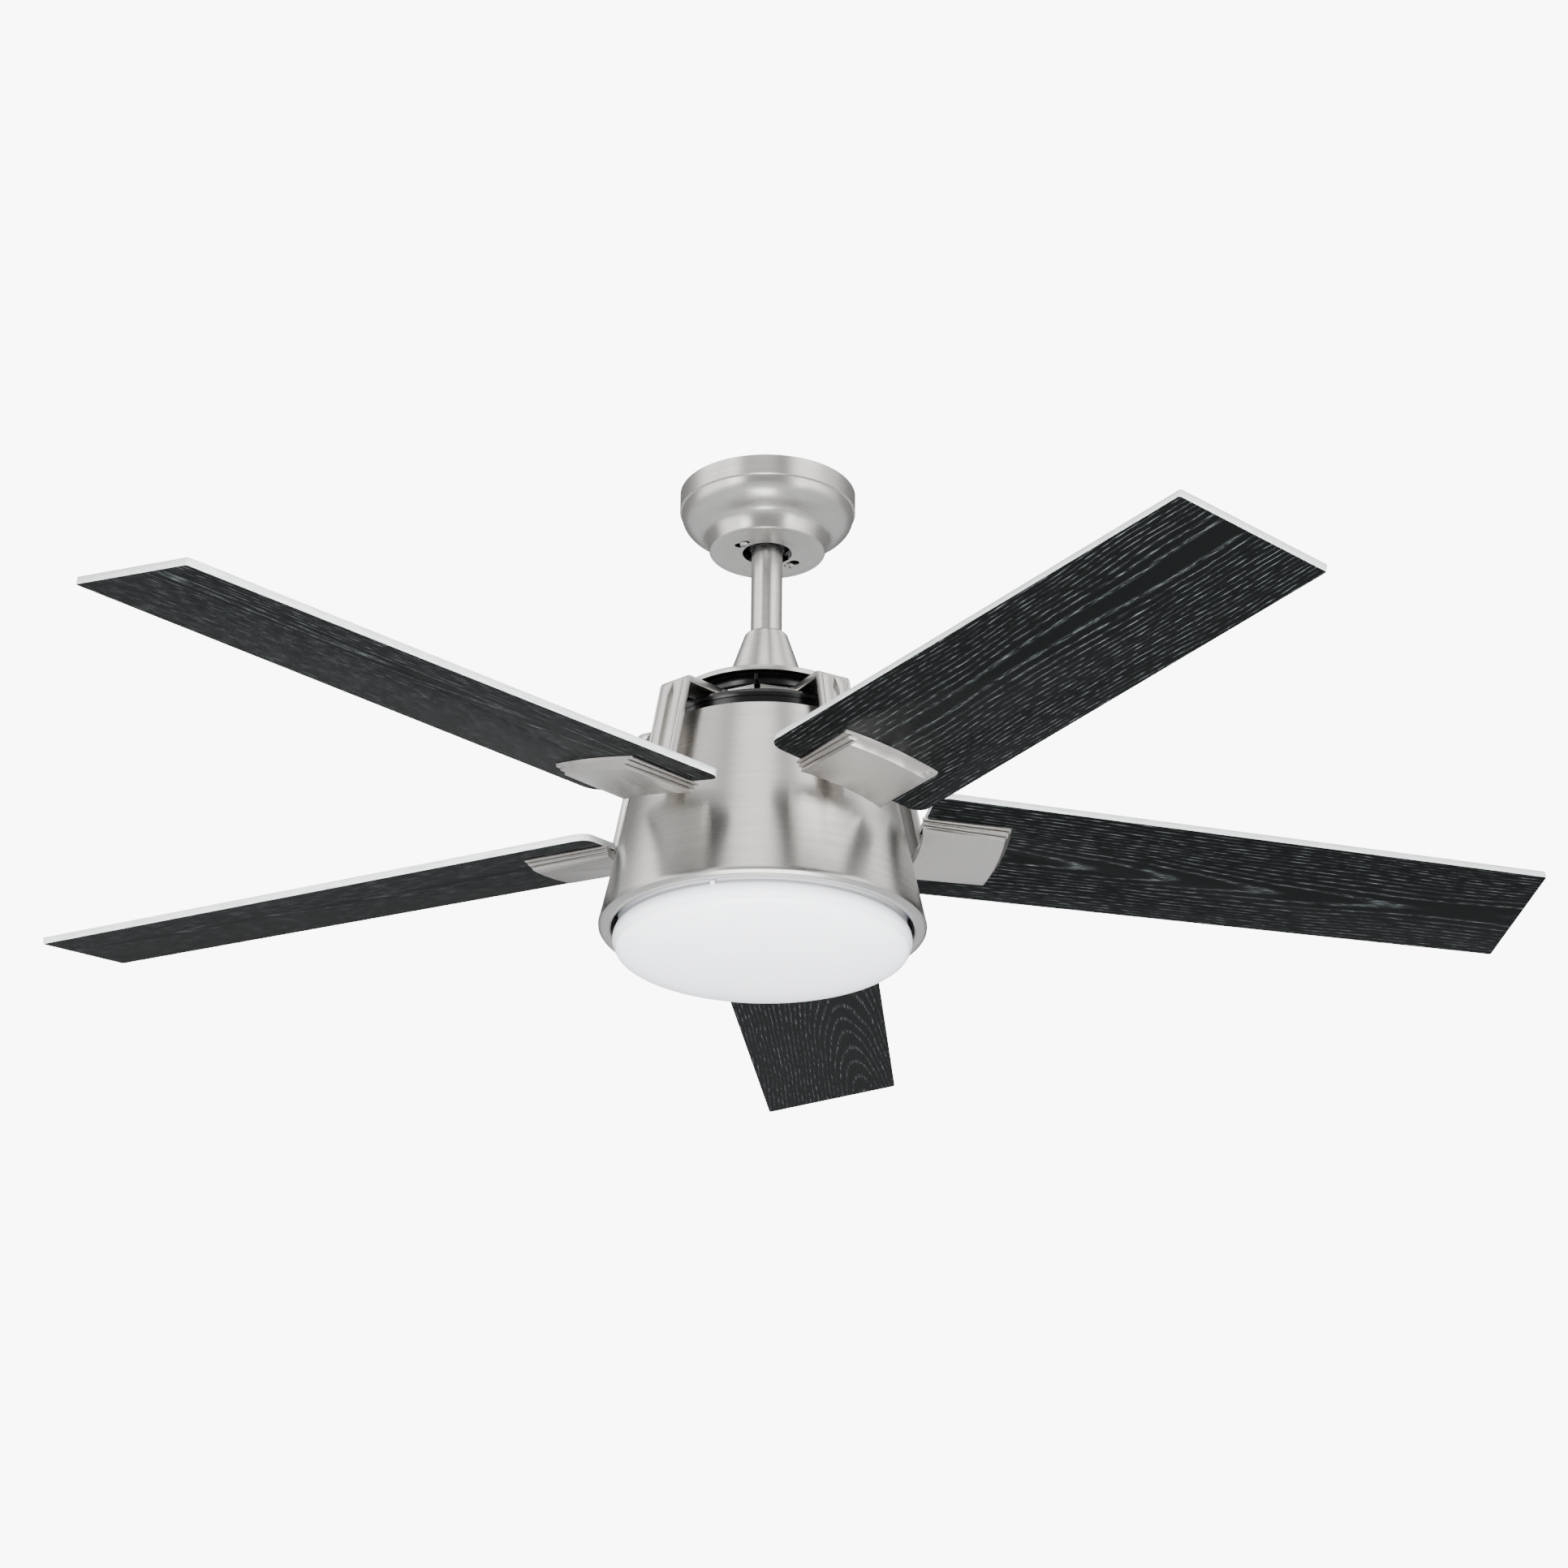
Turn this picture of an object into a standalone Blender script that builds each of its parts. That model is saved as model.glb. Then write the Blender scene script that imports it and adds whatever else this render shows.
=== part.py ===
"""Ceiling fan with light: hanger, downrod, outer-rotor motor, five blades and a twist-lock shade.

Frame: metres, +Z up, origin at the centre of the hanger bracket's top face, which lies on the
ceiling.  The motor axis is Z, and blade 1 points along +Y.
"""
import bpy
import bmesh
from math import asin, atan, cos, pi, radians, sin, sqrt, tan
from mathutils import Matrix, Vector

MM = 0.001
GAP = 0.0003                       # clearance kept between touching pieces
ROUND = 36                         # sides of a large round piece
SMALL_ROUND = 24                   # sides of a small round piece
SCREW_ROUND = 8                    # sides of a screw or a screw hole

# Hanger and canopy
BRACKET_TURN = radians(51)         # the bracket's long axis, seen from above
BRACKET_LENGTH = 0.132
BRACKET_WIDTH = 0.036
BRACKET_METAL = 0.0025
BRACKET_ARM_X = 0.040
CEILING_SLOT_X = 0.055
SEAT_TOP = -0.0461
SEAT_HOLE_R = 0.0198
BALL_R = 0.0225
BALL_Z = -0.0345
CANOPY_R = 0.0748
SPUN_METAL = 0.001
CANOPY_BOTTOM = -0.0557
CANOPY_HOLE_R = 0.0209
CANOPY_SCREW_X = 0.0275

# Downrod and coupling
ROD_R = 0.0132
ROD_BORE_R = 0.0116
ROD_TOP = -0.0175
ROD_BOTTOM = -0.170
PIN_R = 0.003
PIN_HOLE_R = PIN_R + GAP
BALL_PIN_Z = -0.027
YOKE_PIN_Z = -0.160
YOKE_SCREW_Z = -0.151
COVER_TOP = -0.1332
COVER_BOTTOM = -0.1915

# Motor
SHAFT_R = 0.008
SHAFT_BORE_R = 0.005
SHAFT_HOLE_R = SHAFT_R + GAP
BEARING_R = 0.011
BEARING_SEAT_R = BEARING_R + GAP
ROTOR_R = 0.088
CAP_R = 0.075
CAP_TOP = -0.1930
STATOR_R = 0.074
TEETH = 12

# Blades and blade arms
ARMS = 5
BLADE_TIP_R = 0.660
BLADE_ROOT_R = 0.1275
BLADE_HALF_ROOT = 0.0724
BLADE_HALF_TIP = 0.0631
BLADE_THICK = 0.006
BLADE_AXIS_Z = -0.3066             # where the blade's underside plane meets the motor axis
BLADE_PITCH = radians(11.2)
BLADE_DROOP = radians(1.57)
BLADE_SCREWS = ((0.150, 0.0), (0.185, 0.024), (0.185, -0.024))
BLADE_SCREW_R = 0.002
ARM_METAL = 0.006
FOOT_TOP = -0.206
FOOT_R = 0.053
FOOT_SPLIT = 0.0025                # half the gap between two feet
LEG_TOP_R = 0.111
LEG_TOP_Z = -0.2105
LEG_HALF = 0.0142
LEG_END_Z = -0.3145                # inside the plate's thickness
PLATE_IN_R = 0.1305
PLATE_OUT_R = 0.204
PLATE_LAYER = 0.0028

# Housing and light
HOUSING_TOP = -0.238
HOUSING_TOP_R = 0.100
HOUSING_LIP = -0.3925
HOUSING_LIP_R = 0.133
HOUSING_METAL = 0.0012
HOUSING_SLOPE = (HOUSING_LIP_R - HOUSING_TOP_R) / (HOUSING_TOP - HOUSING_LIP)
SUPPORT_TOP = -0.3703
HOUSING_SCREW_R = 0.121
PAN_R = 0.111
PAN_TOP = SUPPORT_TOP - 0.0036
PAN_BOTTOM = -0.392
SHADE_R = 0.1217
SHADE_BOTTOM = -0.4325
SHADE_WALL = 0.0024
LUG_TURNS = tuple(radians(a) for a in (15, 135, 255))

MODEL = bpy.data.collections.new("ceiling_fan_with_light")
CUTTERS = bpy.data.collections.new("cutters")


# ---------------------------------------------------------------- helpers

def clear_scene():
    for obj in list(bpy.data.objects):
        bpy.data.objects.remove(obj, do_unlink=True)
    for collection in (MODEL, CUTTERS):
        bpy.context.scene.collection.children.link(collection)


def material(name, colour, roughness, metallic):
    found = bpy.data.materials.get(name)
    if found:
        return found
    made = bpy.data.materials.new(name)
    made.use_nodes = True
    shader = made.node_tree.nodes["Principled BSDF"]
    shader.inputs["Base Color"].default_value = (*colour, 1.0)
    shader.inputs["Roughness"].default_value = roughness
    shader.inputs["Metallic"].default_value = metallic
    return made


def nickel():
    return material("brushed nickel", (0.62, 0.60, 0.57), 0.32, 1.0)


def zinc_steel():
    return material("zinc plated steel", (0.55, 0.56, 0.58), 0.35, 1.0)


def black_paint():
    return material("black paint", (0.012, 0.012, 0.013), 0.35, 0.0)


def black_plastic():
    return material("black nylon", (0.010, 0.010, 0.011), 0.28, 0.0)


def smooth(mesh):
    mesh.shade_smooth()
    mesh.set_sharp_from_angle(angle=radians(35))


def place(name, mesh, finish, collection=None):
    obj = bpy.data.objects.new(name, mesh)
    if finish and not mesh.materials:
        mesh.materials.append(finish)
    (collection or MODEL).objects.link(obj)
    return obj


def axis_empty(name, z):
    """An empty on a joint's axis, at height z."""
    empty = bpy.data.objects.new(name, None)
    empty.location = (0, 0, z)
    MODEL.objects.link(empty)
    return empty


def hang(obj, parent):
    """Parents obj and keeps it where it is."""
    obj.parent = parent
    obj.matrix_parent_inverse = Matrix.Translation(-parent.location)


def bake(obj):
    """The evaluated mesh of obj, welded, in place of the object."""
    bpy.context.view_layer.update()
    graph = bpy.context.evaluated_depsgraph_get()
    mesh = bpy.data.meshes.new_from_object(obj.evaluated_get(graph))
    work = bmesh.new()
    work.from_mesh(mesh)
    bmesh.ops.remove_doubles(work, verts=work.verts, dist=1e-6)
    work.transform(obj.matrix_world)
    work.to_mesh(mesh)
    work.free()
    bpy.data.objects.remove(obj, do_unlink=True)
    smooth(mesh)
    return mesh


def turned(name, profile, finish, steps=ROUND, wall=0.0, collection=None):
    """A turned piece: a closed or axis-to-axis profile of (r, z), or an open one given a wall."""
    work = bmesh.new()
    verts = [work.verts.new((r, 0, z)) for r, z in profile]
    pairs = list(zip(verts, verts[1:]))
    if not wall and profile[0][0] > 0:
        pairs.append((verts[-1], verts[0]))
    for a, b in pairs:
        work.edges.new((a, b))
    mesh = bpy.data.meshes.new(name)
    work.to_mesh(mesh)
    work.free()
    obj = place(name, mesh, finish, collection=collection)
    screw = obj.modifiers.new("turn", "SCREW")
    screw.steps = screw.render_steps = steps
    screw.use_merge_vertices = True
    screw.merge_threshold = 0.000001
    if wall:
        solid = obj.modifiers.new("wall", "SOLIDIFY")
        solid.thickness = wall
        solid.offset = -1
        solid.use_even_offset = True
    obj.data = bake(obj_copy(obj, collection))
    obj.modifiers.clear()
    return obj


def obj_copy(obj, collection):
    twin = obj.copy()
    twin.data = obj.data.copy()
    (collection or MODEL).objects.link(twin)
    return twin


def sheet(name, outline, low, high, finish, holes=(), collection=None):
    """A flat outline in XY, from height low to high, with optional holes."""
    curve = bpy.data.curves.new(name, "CURVE")
    curve.dimensions = "2D"
    curve.fill_mode = "BOTH"
    curve.extrude = (high - low) / 2
    curve.render_resolution_u = 0
    for loop in (outline, *holes):
        spline = curve.splines.new("POLY")
        spline.points.add(len(loop) - 1)
        for point, (x, y) in zip(spline.points, loop):
            point.co = (x, y, 0, 1)
        spline.use_cyclic_u = True
    flat = bpy.data.objects.new(name, curve)
    flat.location = (0, 0, (low + high) / 2)
    (collection or MODEL).objects.link(flat)
    mesh = bake(flat)
    bpy.data.curves.remove(curve)
    return place(name, mesh, finish, collection=collection)


def block(name, low, high, finish=None, collection=None):
    work = bmesh.new()
    size = Vector(high) - Vector(low)
    middle = (Vector(high) + Vector(low)) / 2
    bmesh.ops.create_cube(work, size=1.0, matrix=Matrix.Translation(middle) @ Matrix.Diagonal((*size, 1)))
    mesh = bpy.data.meshes.new(name)
    work.to_mesh(mesh)
    work.free()
    return place(name, mesh, finish, collection=collection)


def bar(name, radius, start, end, finish=None, sides=SCREW_ROUND, collection=None):
    """A plain round bar between two points."""
    start, end = Vector(start), Vector(end)
    turn = (end - start).to_track_quat("Z", "Y").to_matrix().to_4x4()
    work = bmesh.new()
    bmesh.ops.create_cone(work, cap_ends=True, segments=sides, radius1=radius, radius2=radius,
                          depth=(end - start).length, matrix=Matrix.Translation((start + end) / 2) @ turn)
    mesh = bpy.data.meshes.new(name)
    work.to_mesh(mesh)
    work.free()
    smooth(mesh)
    return place(name, mesh, finish, collection=collection)


def combine(obj, others, operation):
    """Cuts obj with the others, or joins them to it; the others become hidden guides."""
    for other in others:
        other.hide_render = True
        other.display_type = "WIRE"
        if MODEL in other.users_collection:
            MODEL.objects.unlink(other)
            CUTTERS.objects.link(other)
        step = obj.modifiers.new(operation.lower(), "BOOLEAN")
        step.operation = operation
        step.object = other
    return obj


def cut(obj, *cutters):
    return combine(obj, cutters, "DIFFERENCE")


def fuse(obj, *others):
    return combine(obj, others, "UNION")


def cut_bar(radius, start, end, sides=SCREW_ROUND):
    return bar("cutter", radius, start, end, sides=sides, collection=CUTTERS)


def cut_block(low, high):
    return block("cutter", low, high, collection=CUTTERS)


def turn_z(obj, angle):
    obj.data.transform(Matrix.Rotation(angle, 4, "Z"))
    return obj


def turn_finished(obj, angle):
    """Bakes a piece and its cuts, then turns it about Z."""
    name = obj.name
    turned_piece = place(name, bake(obj), None)
    turned_piece.name = name
    turned_piece.rotation_euler.z = angle


def arc(cx, cy, radius, start, end, count):
    """count + 1 points of an arc, angles in degrees."""
    angles = [radians(start + (end - start) * i / count) for i in range(count + 1)]
    return [(cx + radius * cos(a), cy + radius * sin(a)) for a in angles]


def circle(radius, count, x=0.0, y=0.0):
    return arc(x, y, radius, 0, 360, count)[:-1]


def screw_piece(name, head_top, head_r, head_h, shank_r, shank_end, finish, socket=True):
    """A pan-head screw on the Z axis: the head starts at head_top, the shank ends at shank_end."""
    way = 1 if shank_end > head_top else -1
    seat = head_top + way * head_h
    edge = head_top + way * head_h * 0.35
    profile = [(0, head_top), (head_r * 0.75, head_top), (head_r, edge), (head_r, seat),
               (shank_r, seat), (shank_r, shank_end), (0, shank_end)]
    if way > 0:
        profile.reverse()
    obj = turned(name, profile, finish, steps=SCREW_ROUND)
    if socket:
        low, high = sorted((head_top - way * 0.001, head_top + way * head_h * 0.45))
        arm = head_r * 0.6
        slot = 0.0005
        cut(obj, cut_block((-arm, -slot, low), (arm, slot, high)),
            cut_block((-slot, -arm, low), (slot, arm, high)))
        obj = place(name, bake(obj), None)
        obj.name = name
    return obj


# ---------------------------------------------------------------- hanger and canopy

def hanger_bracket():
    """A bent steel strap: flat top on the ceiling, two arms and a slotted seat for the ball."""
    half = BRACKET_WIDTH / 2
    seat_low = SEAT_TOP - BRACKET_METAL
    obj = block("hanger_bracket", (-BRACKET_LENGTH / 2, -half, -BRACKET_METAL),
                (BRACKET_LENGTH / 2, half, 0), zinc_steel())
    for side in (-1, 1):
        inner, outer = sorted((side * BRACKET_ARM_X, side * (BRACKET_ARM_X - BRACKET_METAL)))
        fuse(obj, block("arm", (inner, -half, seat_low), (outer, half, -BRACKET_METAL / 2)))
    fuse(obj, block("floor", (-BRACKET_ARM_X + MM, -half, seat_low), (BRACKET_ARM_X - MM, half, SEAT_TOP)),
         bar("seat", 0.029, (0, 0, seat_low), (0, 0, SEAT_TOP), sides=SMALL_ROUND))
    cut(obj, cut_bar(SEAT_HOLE_R, (0, 0, -0.06), (0, 0, -0.04), sides=SMALL_ROUND),
        cut_block((-0.0142, 0.005, -0.06), (0.0142, 0.04, -0.04)))
    for side in (-1, 1):
        x = side * CEILING_SLOT_X
        cut(obj, cut_block((x - 0.006, -0.0026, -0.01), (x + 0.006, 0.0026, 0.01)),
            cut_bar(0.0022, (side * CANOPY_SCREW_X, 0, -0.06), (side * CANOPY_SCREW_X, 0, -0.04)))
    turn_finished(obj, BRACKET_TURN)


def canopy_profile():
    bowl = [(0.050 + 0.0232 * cos(radians(t)), -0.0195 - 0.0185 * sin(radians(t))) for t in (0, 25, 50, 75)]
    return [(CANOPY_R, 0), (CANOPY_R, -0.0180), *bowl, (0.0508, -0.0440), (0.0492, -0.0520),
            (0.0456, CANOPY_BOTTOM), (CANOPY_HOLE_R, CANOPY_BOTTOM)]


def canopy():
    """The spun cover at the ceiling, with two keyhole slots for its screws."""
    obj = turned("canopy", canopy_profile(), nickel(), wall=SPUN_METAL)
    for side in (-1, 1):
        x = side * CANOPY_SCREW_X
        cut(obj, cut_bar(0.0034, (x, 0, -0.06), (x, 0, -0.05)),
            cut_block((x - 0.0022, -0.0085 if side > 0 else 0.001, -0.06),
                      (x + 0.0022, -0.001 if side > 0 else 0.0085, -0.05)))
    turn_finished(obj, BRACKET_TURN)


def canopy_screws():
    for number, turn in ((1, BRACKET_TURN), (2, BRACKET_TURN + pi)):
        obj = screw_piece(f"canopy_screw_{number}", CANOPY_BOTTOM - 0.0027, 0.0044, 0.0024, 0.0018,
                          SEAT_TOP + 0.004, zinc_steel())
        obj.location = (CANOPY_SCREW_X * cos(turn), CANOPY_SCREW_X * sin(turn), 0)
        obj.rotation_euler.z = turn


def receiver():
    """The remote-control receiver, beside the bracket."""
    obj = block("remote_receiver", (-0.038, 0.0205, -0.0235), (0.038, 0.0405, -0.0035), black_plastic())
    edge = obj.modifiers.new("edge", "BEVEL")
    edge.width = 0.002
    edge.segments = 1
    obj.rotation_euler.z = BRACKET_TURN


# ---------------------------------------------------------------- ball, rod and coupling

def hanger_ball(parent):
    reach = asin(sqrt(BALL_R ** 2 - (ROD_R + GAP) ** 2) / BALL_R)
    profile = []
    for i in range(9):
        t = reach - 2 * reach * i / 8
        profile.append((BALL_R * cos(t), BALL_Z + BALL_R * sin(t)))
    obj = turned("hanger_ball", profile, black_plastic(), steps=SMALL_ROUND)
    cut(obj, cut_bar(PIN_HOLE_R, (-0.03, 0, BALL_PIN_Z), (0.03, 0, BALL_PIN_Z)))
    hang(obj, parent)


def cross_pin(name, z, half, parent):
    obj = bar(name, PIN_R, (-half, 0, z), (half, 0, z), zinc_steel())
    hang(obj, parent)


def downrod(parent):
    profile = [(ROD_R, ROD_TOP), (ROD_R, ROD_BOTTOM), (ROD_BORE_R, ROD_BOTTOM), (ROD_BORE_R, ROD_TOP)]
    obj = turned("downrod", profile, nickel(), steps=SMALL_ROUND)
    for z in (BALL_PIN_Z, YOKE_PIN_Z):
        cut(obj, cut_bar(PIN_HOLE_R, (-0.03, 0, z), (0.03, 0, z)))
    hang(obj, parent)


def lead_bundle(parent):
    """The wires from the receiver: down the rod past both pins, then down the hollow shaft."""
    side = 0.0074
    route = [(0, side, -0.014), (0, side, -0.160), (0, 0.0066, -0.165), (0, 0.0036, -0.1690),
             (0, 0.0010, -0.1735), (0, 0, -0.180), (0, 0, SHAFT_BORE_R - 0.395)]
    curve = bpy.data.curves.new("lead_bundle", "CURVE")
    curve.dimensions = "3D"
    curve.bevel_depth = 0.0026
    curve.bevel_resolution = 2
    curve.render_resolution_u = 0
    curve.use_fill_caps = True
    spline = curve.splines.new("POLY")
    spline.points.add(len(route) - 1)
    for point, place_at in zip(spline.points, route):
        point.co = (*place_at, 1)
    obj = bpy.data.objects.new("lead_bundle", curve)
    MODEL.objects.link(obj)
    curve.materials.append(material("black lead sleeving", (0.02, 0.02, 0.02), 0.6, 0.0))
    hang(obj, parent)


def coupling_cover(parent):
    """The spun cone that hides the yoke."""
    profile = [(ROD_R + 0.0004, COVER_TOP), (0.0158, COVER_TOP - 0.0008), (0.0175, COVER_TOP - 0.0042),
               (0.0368, COVER_BOTTOM)]
    hang(turned("coupling_cover", profile, nickel(), steps=SMALL_ROUND, wall=SPUN_METAL), parent)


def motor_yoke(parent):
    """The collar that the rod is pinned into, on top of the motor shaft."""
    profile = [(0.0170, -0.1455), (0.0170, -0.179), (0.029, -0.181), (0.029, -0.1865),
               (SHAFT_HOLE_R, -0.1865), (SHAFT_HOLE_R, -0.1745), (ROD_R + GAP, -0.1725),
               (ROD_R + GAP, -0.1455)]
    obj = turned("motor_yoke", profile, black_paint(), steps=SMALL_ROUND)
    cut(obj, cut_bar(PIN_HOLE_R, (-0.03, 0, YOKE_PIN_Z), (0.03, 0, YOKE_PIN_Z)),
        cut_bar(0.0025 + GAP, (0, -0.03, YOKE_SCREW_Z), (0, -0.005, YOKE_SCREW_Z)))
    hang(obj, parent)


def yoke_fixings(parent):
    cross_pin("yoke_pin", YOKE_PIN_Z, 0.0205, parent)
    clip = turned("yoke_pin_clip", [(0.0052, -0.0005), (0.0052, -0.0013), (PIN_HOLE_R, -0.0013),
                                    (PIN_HOLE_R, -0.0005)], zinc_steel(), steps=SCREW_ROUND)
    clip.data.transform(Matrix.Translation((0.0190, 0, YOKE_PIN_Z)) @ Matrix.Rotation(pi / 2, 4, "Y"))
    hang(clip, parent)
    hang(bar("yoke_set_screw", 0.0025, (0, -0.0188, YOKE_SCREW_Z), (0, -ROD_R - GAP, YOKE_SCREW_Z),
             zinc_steel()), parent)


# ---------------------------------------------------------------- motor

def motor_shaft(parent):
    top, bottom = -0.1750, -0.3865
    profile = [(SHAFT_R, top), (SHAFT_R, bottom), (SHAFT_BORE_R, bottom), (SHAFT_BORE_R, top)]
    hang(turned("motor_shaft", profile, zinc_steel(), steps=SMALL_ROUND), parent)


def stator_outline():
    """Twelve teeth round a hub."""
    hub, half_root, half_tip, shoe = 0.040, 0.0040, 0.0160, STATOR_R - 0.005
    points = []
    for tooth in range(TEETH):
        turn = Matrix.Rotation(2 * pi * tooth / TEETH, 2)
        side = [(hub, half_root), (shoe, half_root), (shoe, half_tip), (sqrt(STATOR_R ** 2 - half_tip ** 2), half_tip)]
        whole = [(x, -y) for x, y in side] + [(STATOR_R, 0)] + [(x, y) for x, y in reversed(side)]
        points += [tuple(turn @ Vector(p)) for p in whole]
    return points


def stator(parent):
    low, high = -0.2720, -0.2420
    steel = material("electrical steel", (0.35, 0.35, 0.36), 0.45, 1.0)
    hang(sheet("stator_core", stator_outline(), low, high, steel, holes=[circle(SHAFT_HOLE_R, SMALL_ROUND)]), parent)
    copper = material("enamelled copper", (0.62, 0.26, 0.10), 0.35, 1.0)
    for name, near, far in (("upper_coils", high + GAP, high + 0.009), ("lower_coils", low - GAP, low - 0.009)):
        top, bottom = max(near, far), min(near, far)
        ring = [(0.0655, top), (0.0665, bottom), (0.0455, bottom), (0.0465, top)]
        hang(turned(name, ring, copper, steps=SMALL_ROUND), parent)


def bearings(parent):
    for name, high in (("upper_bearing", -0.1985), ("lower_bearing", -0.2885)):
        low = high - 0.007
        profile = [(BEARING_R, high), (BEARING_R, low), (SHAFT_HOLE_R, low), (SHAFT_HOLE_R, high)]
        hang(turned(name, profile, zinc_steel(), steps=SMALL_ROUND), parent)


def rotor_top(parent):
    """The black casting that carries the arms: a drum over their feet, a flange below, and ribs."""
    rib_top = CAP_TOP - 0.0016
    drum_r, drum_low = 0.064, FOOT_TOP + 0.0004
    profile = [(drum_r, rib_top), (drum_r, drum_low), (0.020, drum_low), (0.020, -0.2123), (0.056, -0.2123), (0.060, -0.2155), (0.083, -0.2190),
               (ROTOR_R, -0.2235), (ROTOR_R, -0.2270), (0.0845, -0.2270), (0.0830, -0.2235),
               (0.056, -0.2165), (BEARING_SEAT_R, -0.2165), (BEARING_SEAT_R, rib_top)]
    obj = turned("rotor_top_casting", profile, black_paint())
    for k in range(ARMS):
        rib = block("rib", (0.017, -0.0015, -0.2172), (0.070, 0.0015, rib_top))
        fuse(obj, turn_z(rib, arm_turn(k) + pi / ARMS))
    hang(obj, parent)


def rotor_can(parent):
    profile = [(ROTOR_R, -0.2273), (ROTOR_R, -0.2890), (0.0860, -0.2910), (0.0200, -0.2910), (0.0200, -0.2970),
               (BEARING_SEAT_R, -0.2970), (BEARING_SEAT_R, -0.2875), (0.0845, -0.2875), (0.0845, -0.2273)]
    hang(turned("rotor_can", profile, black_paint()), parent)
    magnets = [(0.0842, -0.2300), (0.0842, -0.2860), (0.0790, -0.2860), (0.0790, -0.2300)]
    ferrite = material("ferrite magnet", (0.05, 0.05, 0.055), 0.6, 0.0)
    hang(turned("magnet_ring", magnets, ferrite), parent)


def top_cap(parent):
    """The shallow nickel dish over the arms' feet."""
    profile = [(0.0215, CAP_TOP), (0.0735, CAP_TOP), (CAP_R, CAP_TOP - 0.0012), (CAP_R, CAP_TOP - 0.0052)]
    hang(turned("top_cap", profile, nickel(), wall=0.0012), parent)


# ---------------------------------------------------------------- arms and blades

def arm_turn(k):
    return pi / 2 + 2 * pi * k / ARMS


def blade_tilt():
    """From the blade's own frame (underside on z = 0, outwards along +X) to the arm's frame."""
    return (Matrix.Translation((0, 0, BLADE_AXIS_Z)) @ Matrix.Rotation(BLADE_DROOP, 4, "Y")
            @ Matrix.Rotation(-BLADE_PITCH, 4, "X"))


def arm_strap():
    """The foot, spoke and leg: one ribbon bent down outside the housing, with metal behind it."""
    foot_in = 0.022
    end_r = LEG_TOP_R + (LEG_TOP_Z - LEG_END_Z) * HOUSING_SLOPE
    spread = tan(pi / ARMS)
    split = FOOT_SPLIT / cos(pi / ARMS)
    stations = [(foot_in, FOOT_TOP, foot_in * spread - split), (FOOT_R, FOOT_TOP, FOOT_R * spread - split),
                (0.062, FOOT_TOP - 0.0004, 0.0100), (LEG_TOP_R, LEG_TOP_Z, LEG_HALF),
                (end_r, LEG_END_Z, LEG_HALF)]
    work = bmesh.new()
    rows = [[work.verts.new((x, side * half, z)) for side in (-1, 1)] for x, z, half in stations]
    for near, far in zip(rows, rows[1:]):
        work.faces.new((near[0], far[0], far[1], near[1]))
    mesh = bpy.data.meshes.new("strap")
    work.to_mesh(mesh)
    work.free()
    obj = place("strap", mesh, nickel())
    solid = obj.modifiers.new("metal", "SOLIDIFY")
    solid.thickness = ARM_METAL
    solid.offset = -1
    solid.use_even_offset = True
    return obj


def leg_groove():
    """The deep groove down the leg's outer face, pointed at its top."""
    half, top, deep = 0.0032, 0.004, 0.0036
    length = 0.100
    outline = [(-half, -length), (half, -length), (half, -top - 0.012), (0, -top), (-half, -top - 0.012)]
    groove = sheet("cutter", outline, -deep, 0.004, None, collection=CUTTERS)
    # The sheet's own Y runs up the leg, and its Z runs out of the leg's face.
    upright = Matrix(((0, 0, 1, 0), (1, 0, 0, 0), (0, 1, 0, 0), (0, 0, 0, 1)))
    lean = Matrix.Rotation(-atan(HOUSING_SLOPE), 4, "Y")
    groove.data.transform(Matrix.Translation((LEG_TOP_R, 0, LEG_TOP_Z)) @ lean @ upright)
    return groove


def plate_ring(half_in, half_out, out_r, z):
    """One outline of the blade plate: concave round the housing, convex at its outer end."""
    inner = []
    for i in range(5):
        y = -half_in + 2 * half_in * i / 4
        inner.append((sqrt(PLATE_IN_R ** 2 - y ** 2), y))
    bulge = 0.004
    corner = 0.004
    outer = []
    for i in range(5):
        y = half_out * (1 - 2 * i / 4)
        x = out_r - bulge * (y / half_out) ** 2
        if i in (0, 4):
            outer += [(x - corner, y), (x - corner * 0.3, y * (1 - 0.3 * corner / half_out))][::1 if i == 0 else -1]
        else:
            outer.append((x, y))
    return [Vector((x, y, z)) for x, y in inner + outer]


def blade_plate():
    """The plate under the blade: three layers whose sides step in, with a smooth bevel outside."""
    top = -GAP
    slant = 0.0033
    rings = []
    for layer, (half_in, half_out) in enumerate(((0.0425, 0.0430), (0.0405, 0.0375), (0.0385, 0.0325))):
        for edge in (layer, layer + 1):
            rings.append(plate_ring(half_in, half_out, PLATE_OUT_R - slant * edge, top - PLATE_LAYER * edge))
    work = bmesh.new()
    loops = [[work.verts.new(p) for p in ring] for ring in rings]
    count = len(loops[0])
    for upper, lower in zip(loops, loops[1:]):
        for i in range(count):
            j = (i + 1) % count
            work.faces.new((upper[i], lower[i], lower[j], upper[j]))
    work.faces.new(loops[0])
    work.faces.new(loops[-1][::-1])
    bmesh.ops.recalc_face_normals(work, faces=work.faces)
    mesh = bpy.data.meshes.new("plate")
    work.to_mesh(mesh)
    work.free()
    mesh.transform(blade_tilt())
    return place("plate", mesh, None)


def screw_holes(radius, low, high):
    holes = [cut_bar(radius, (x, y, low), (x, y, high)) for x, y in BLADE_SCREWS]
    for hole in holes:
        hole.data.transform(blade_tilt())
    return holes


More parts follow.
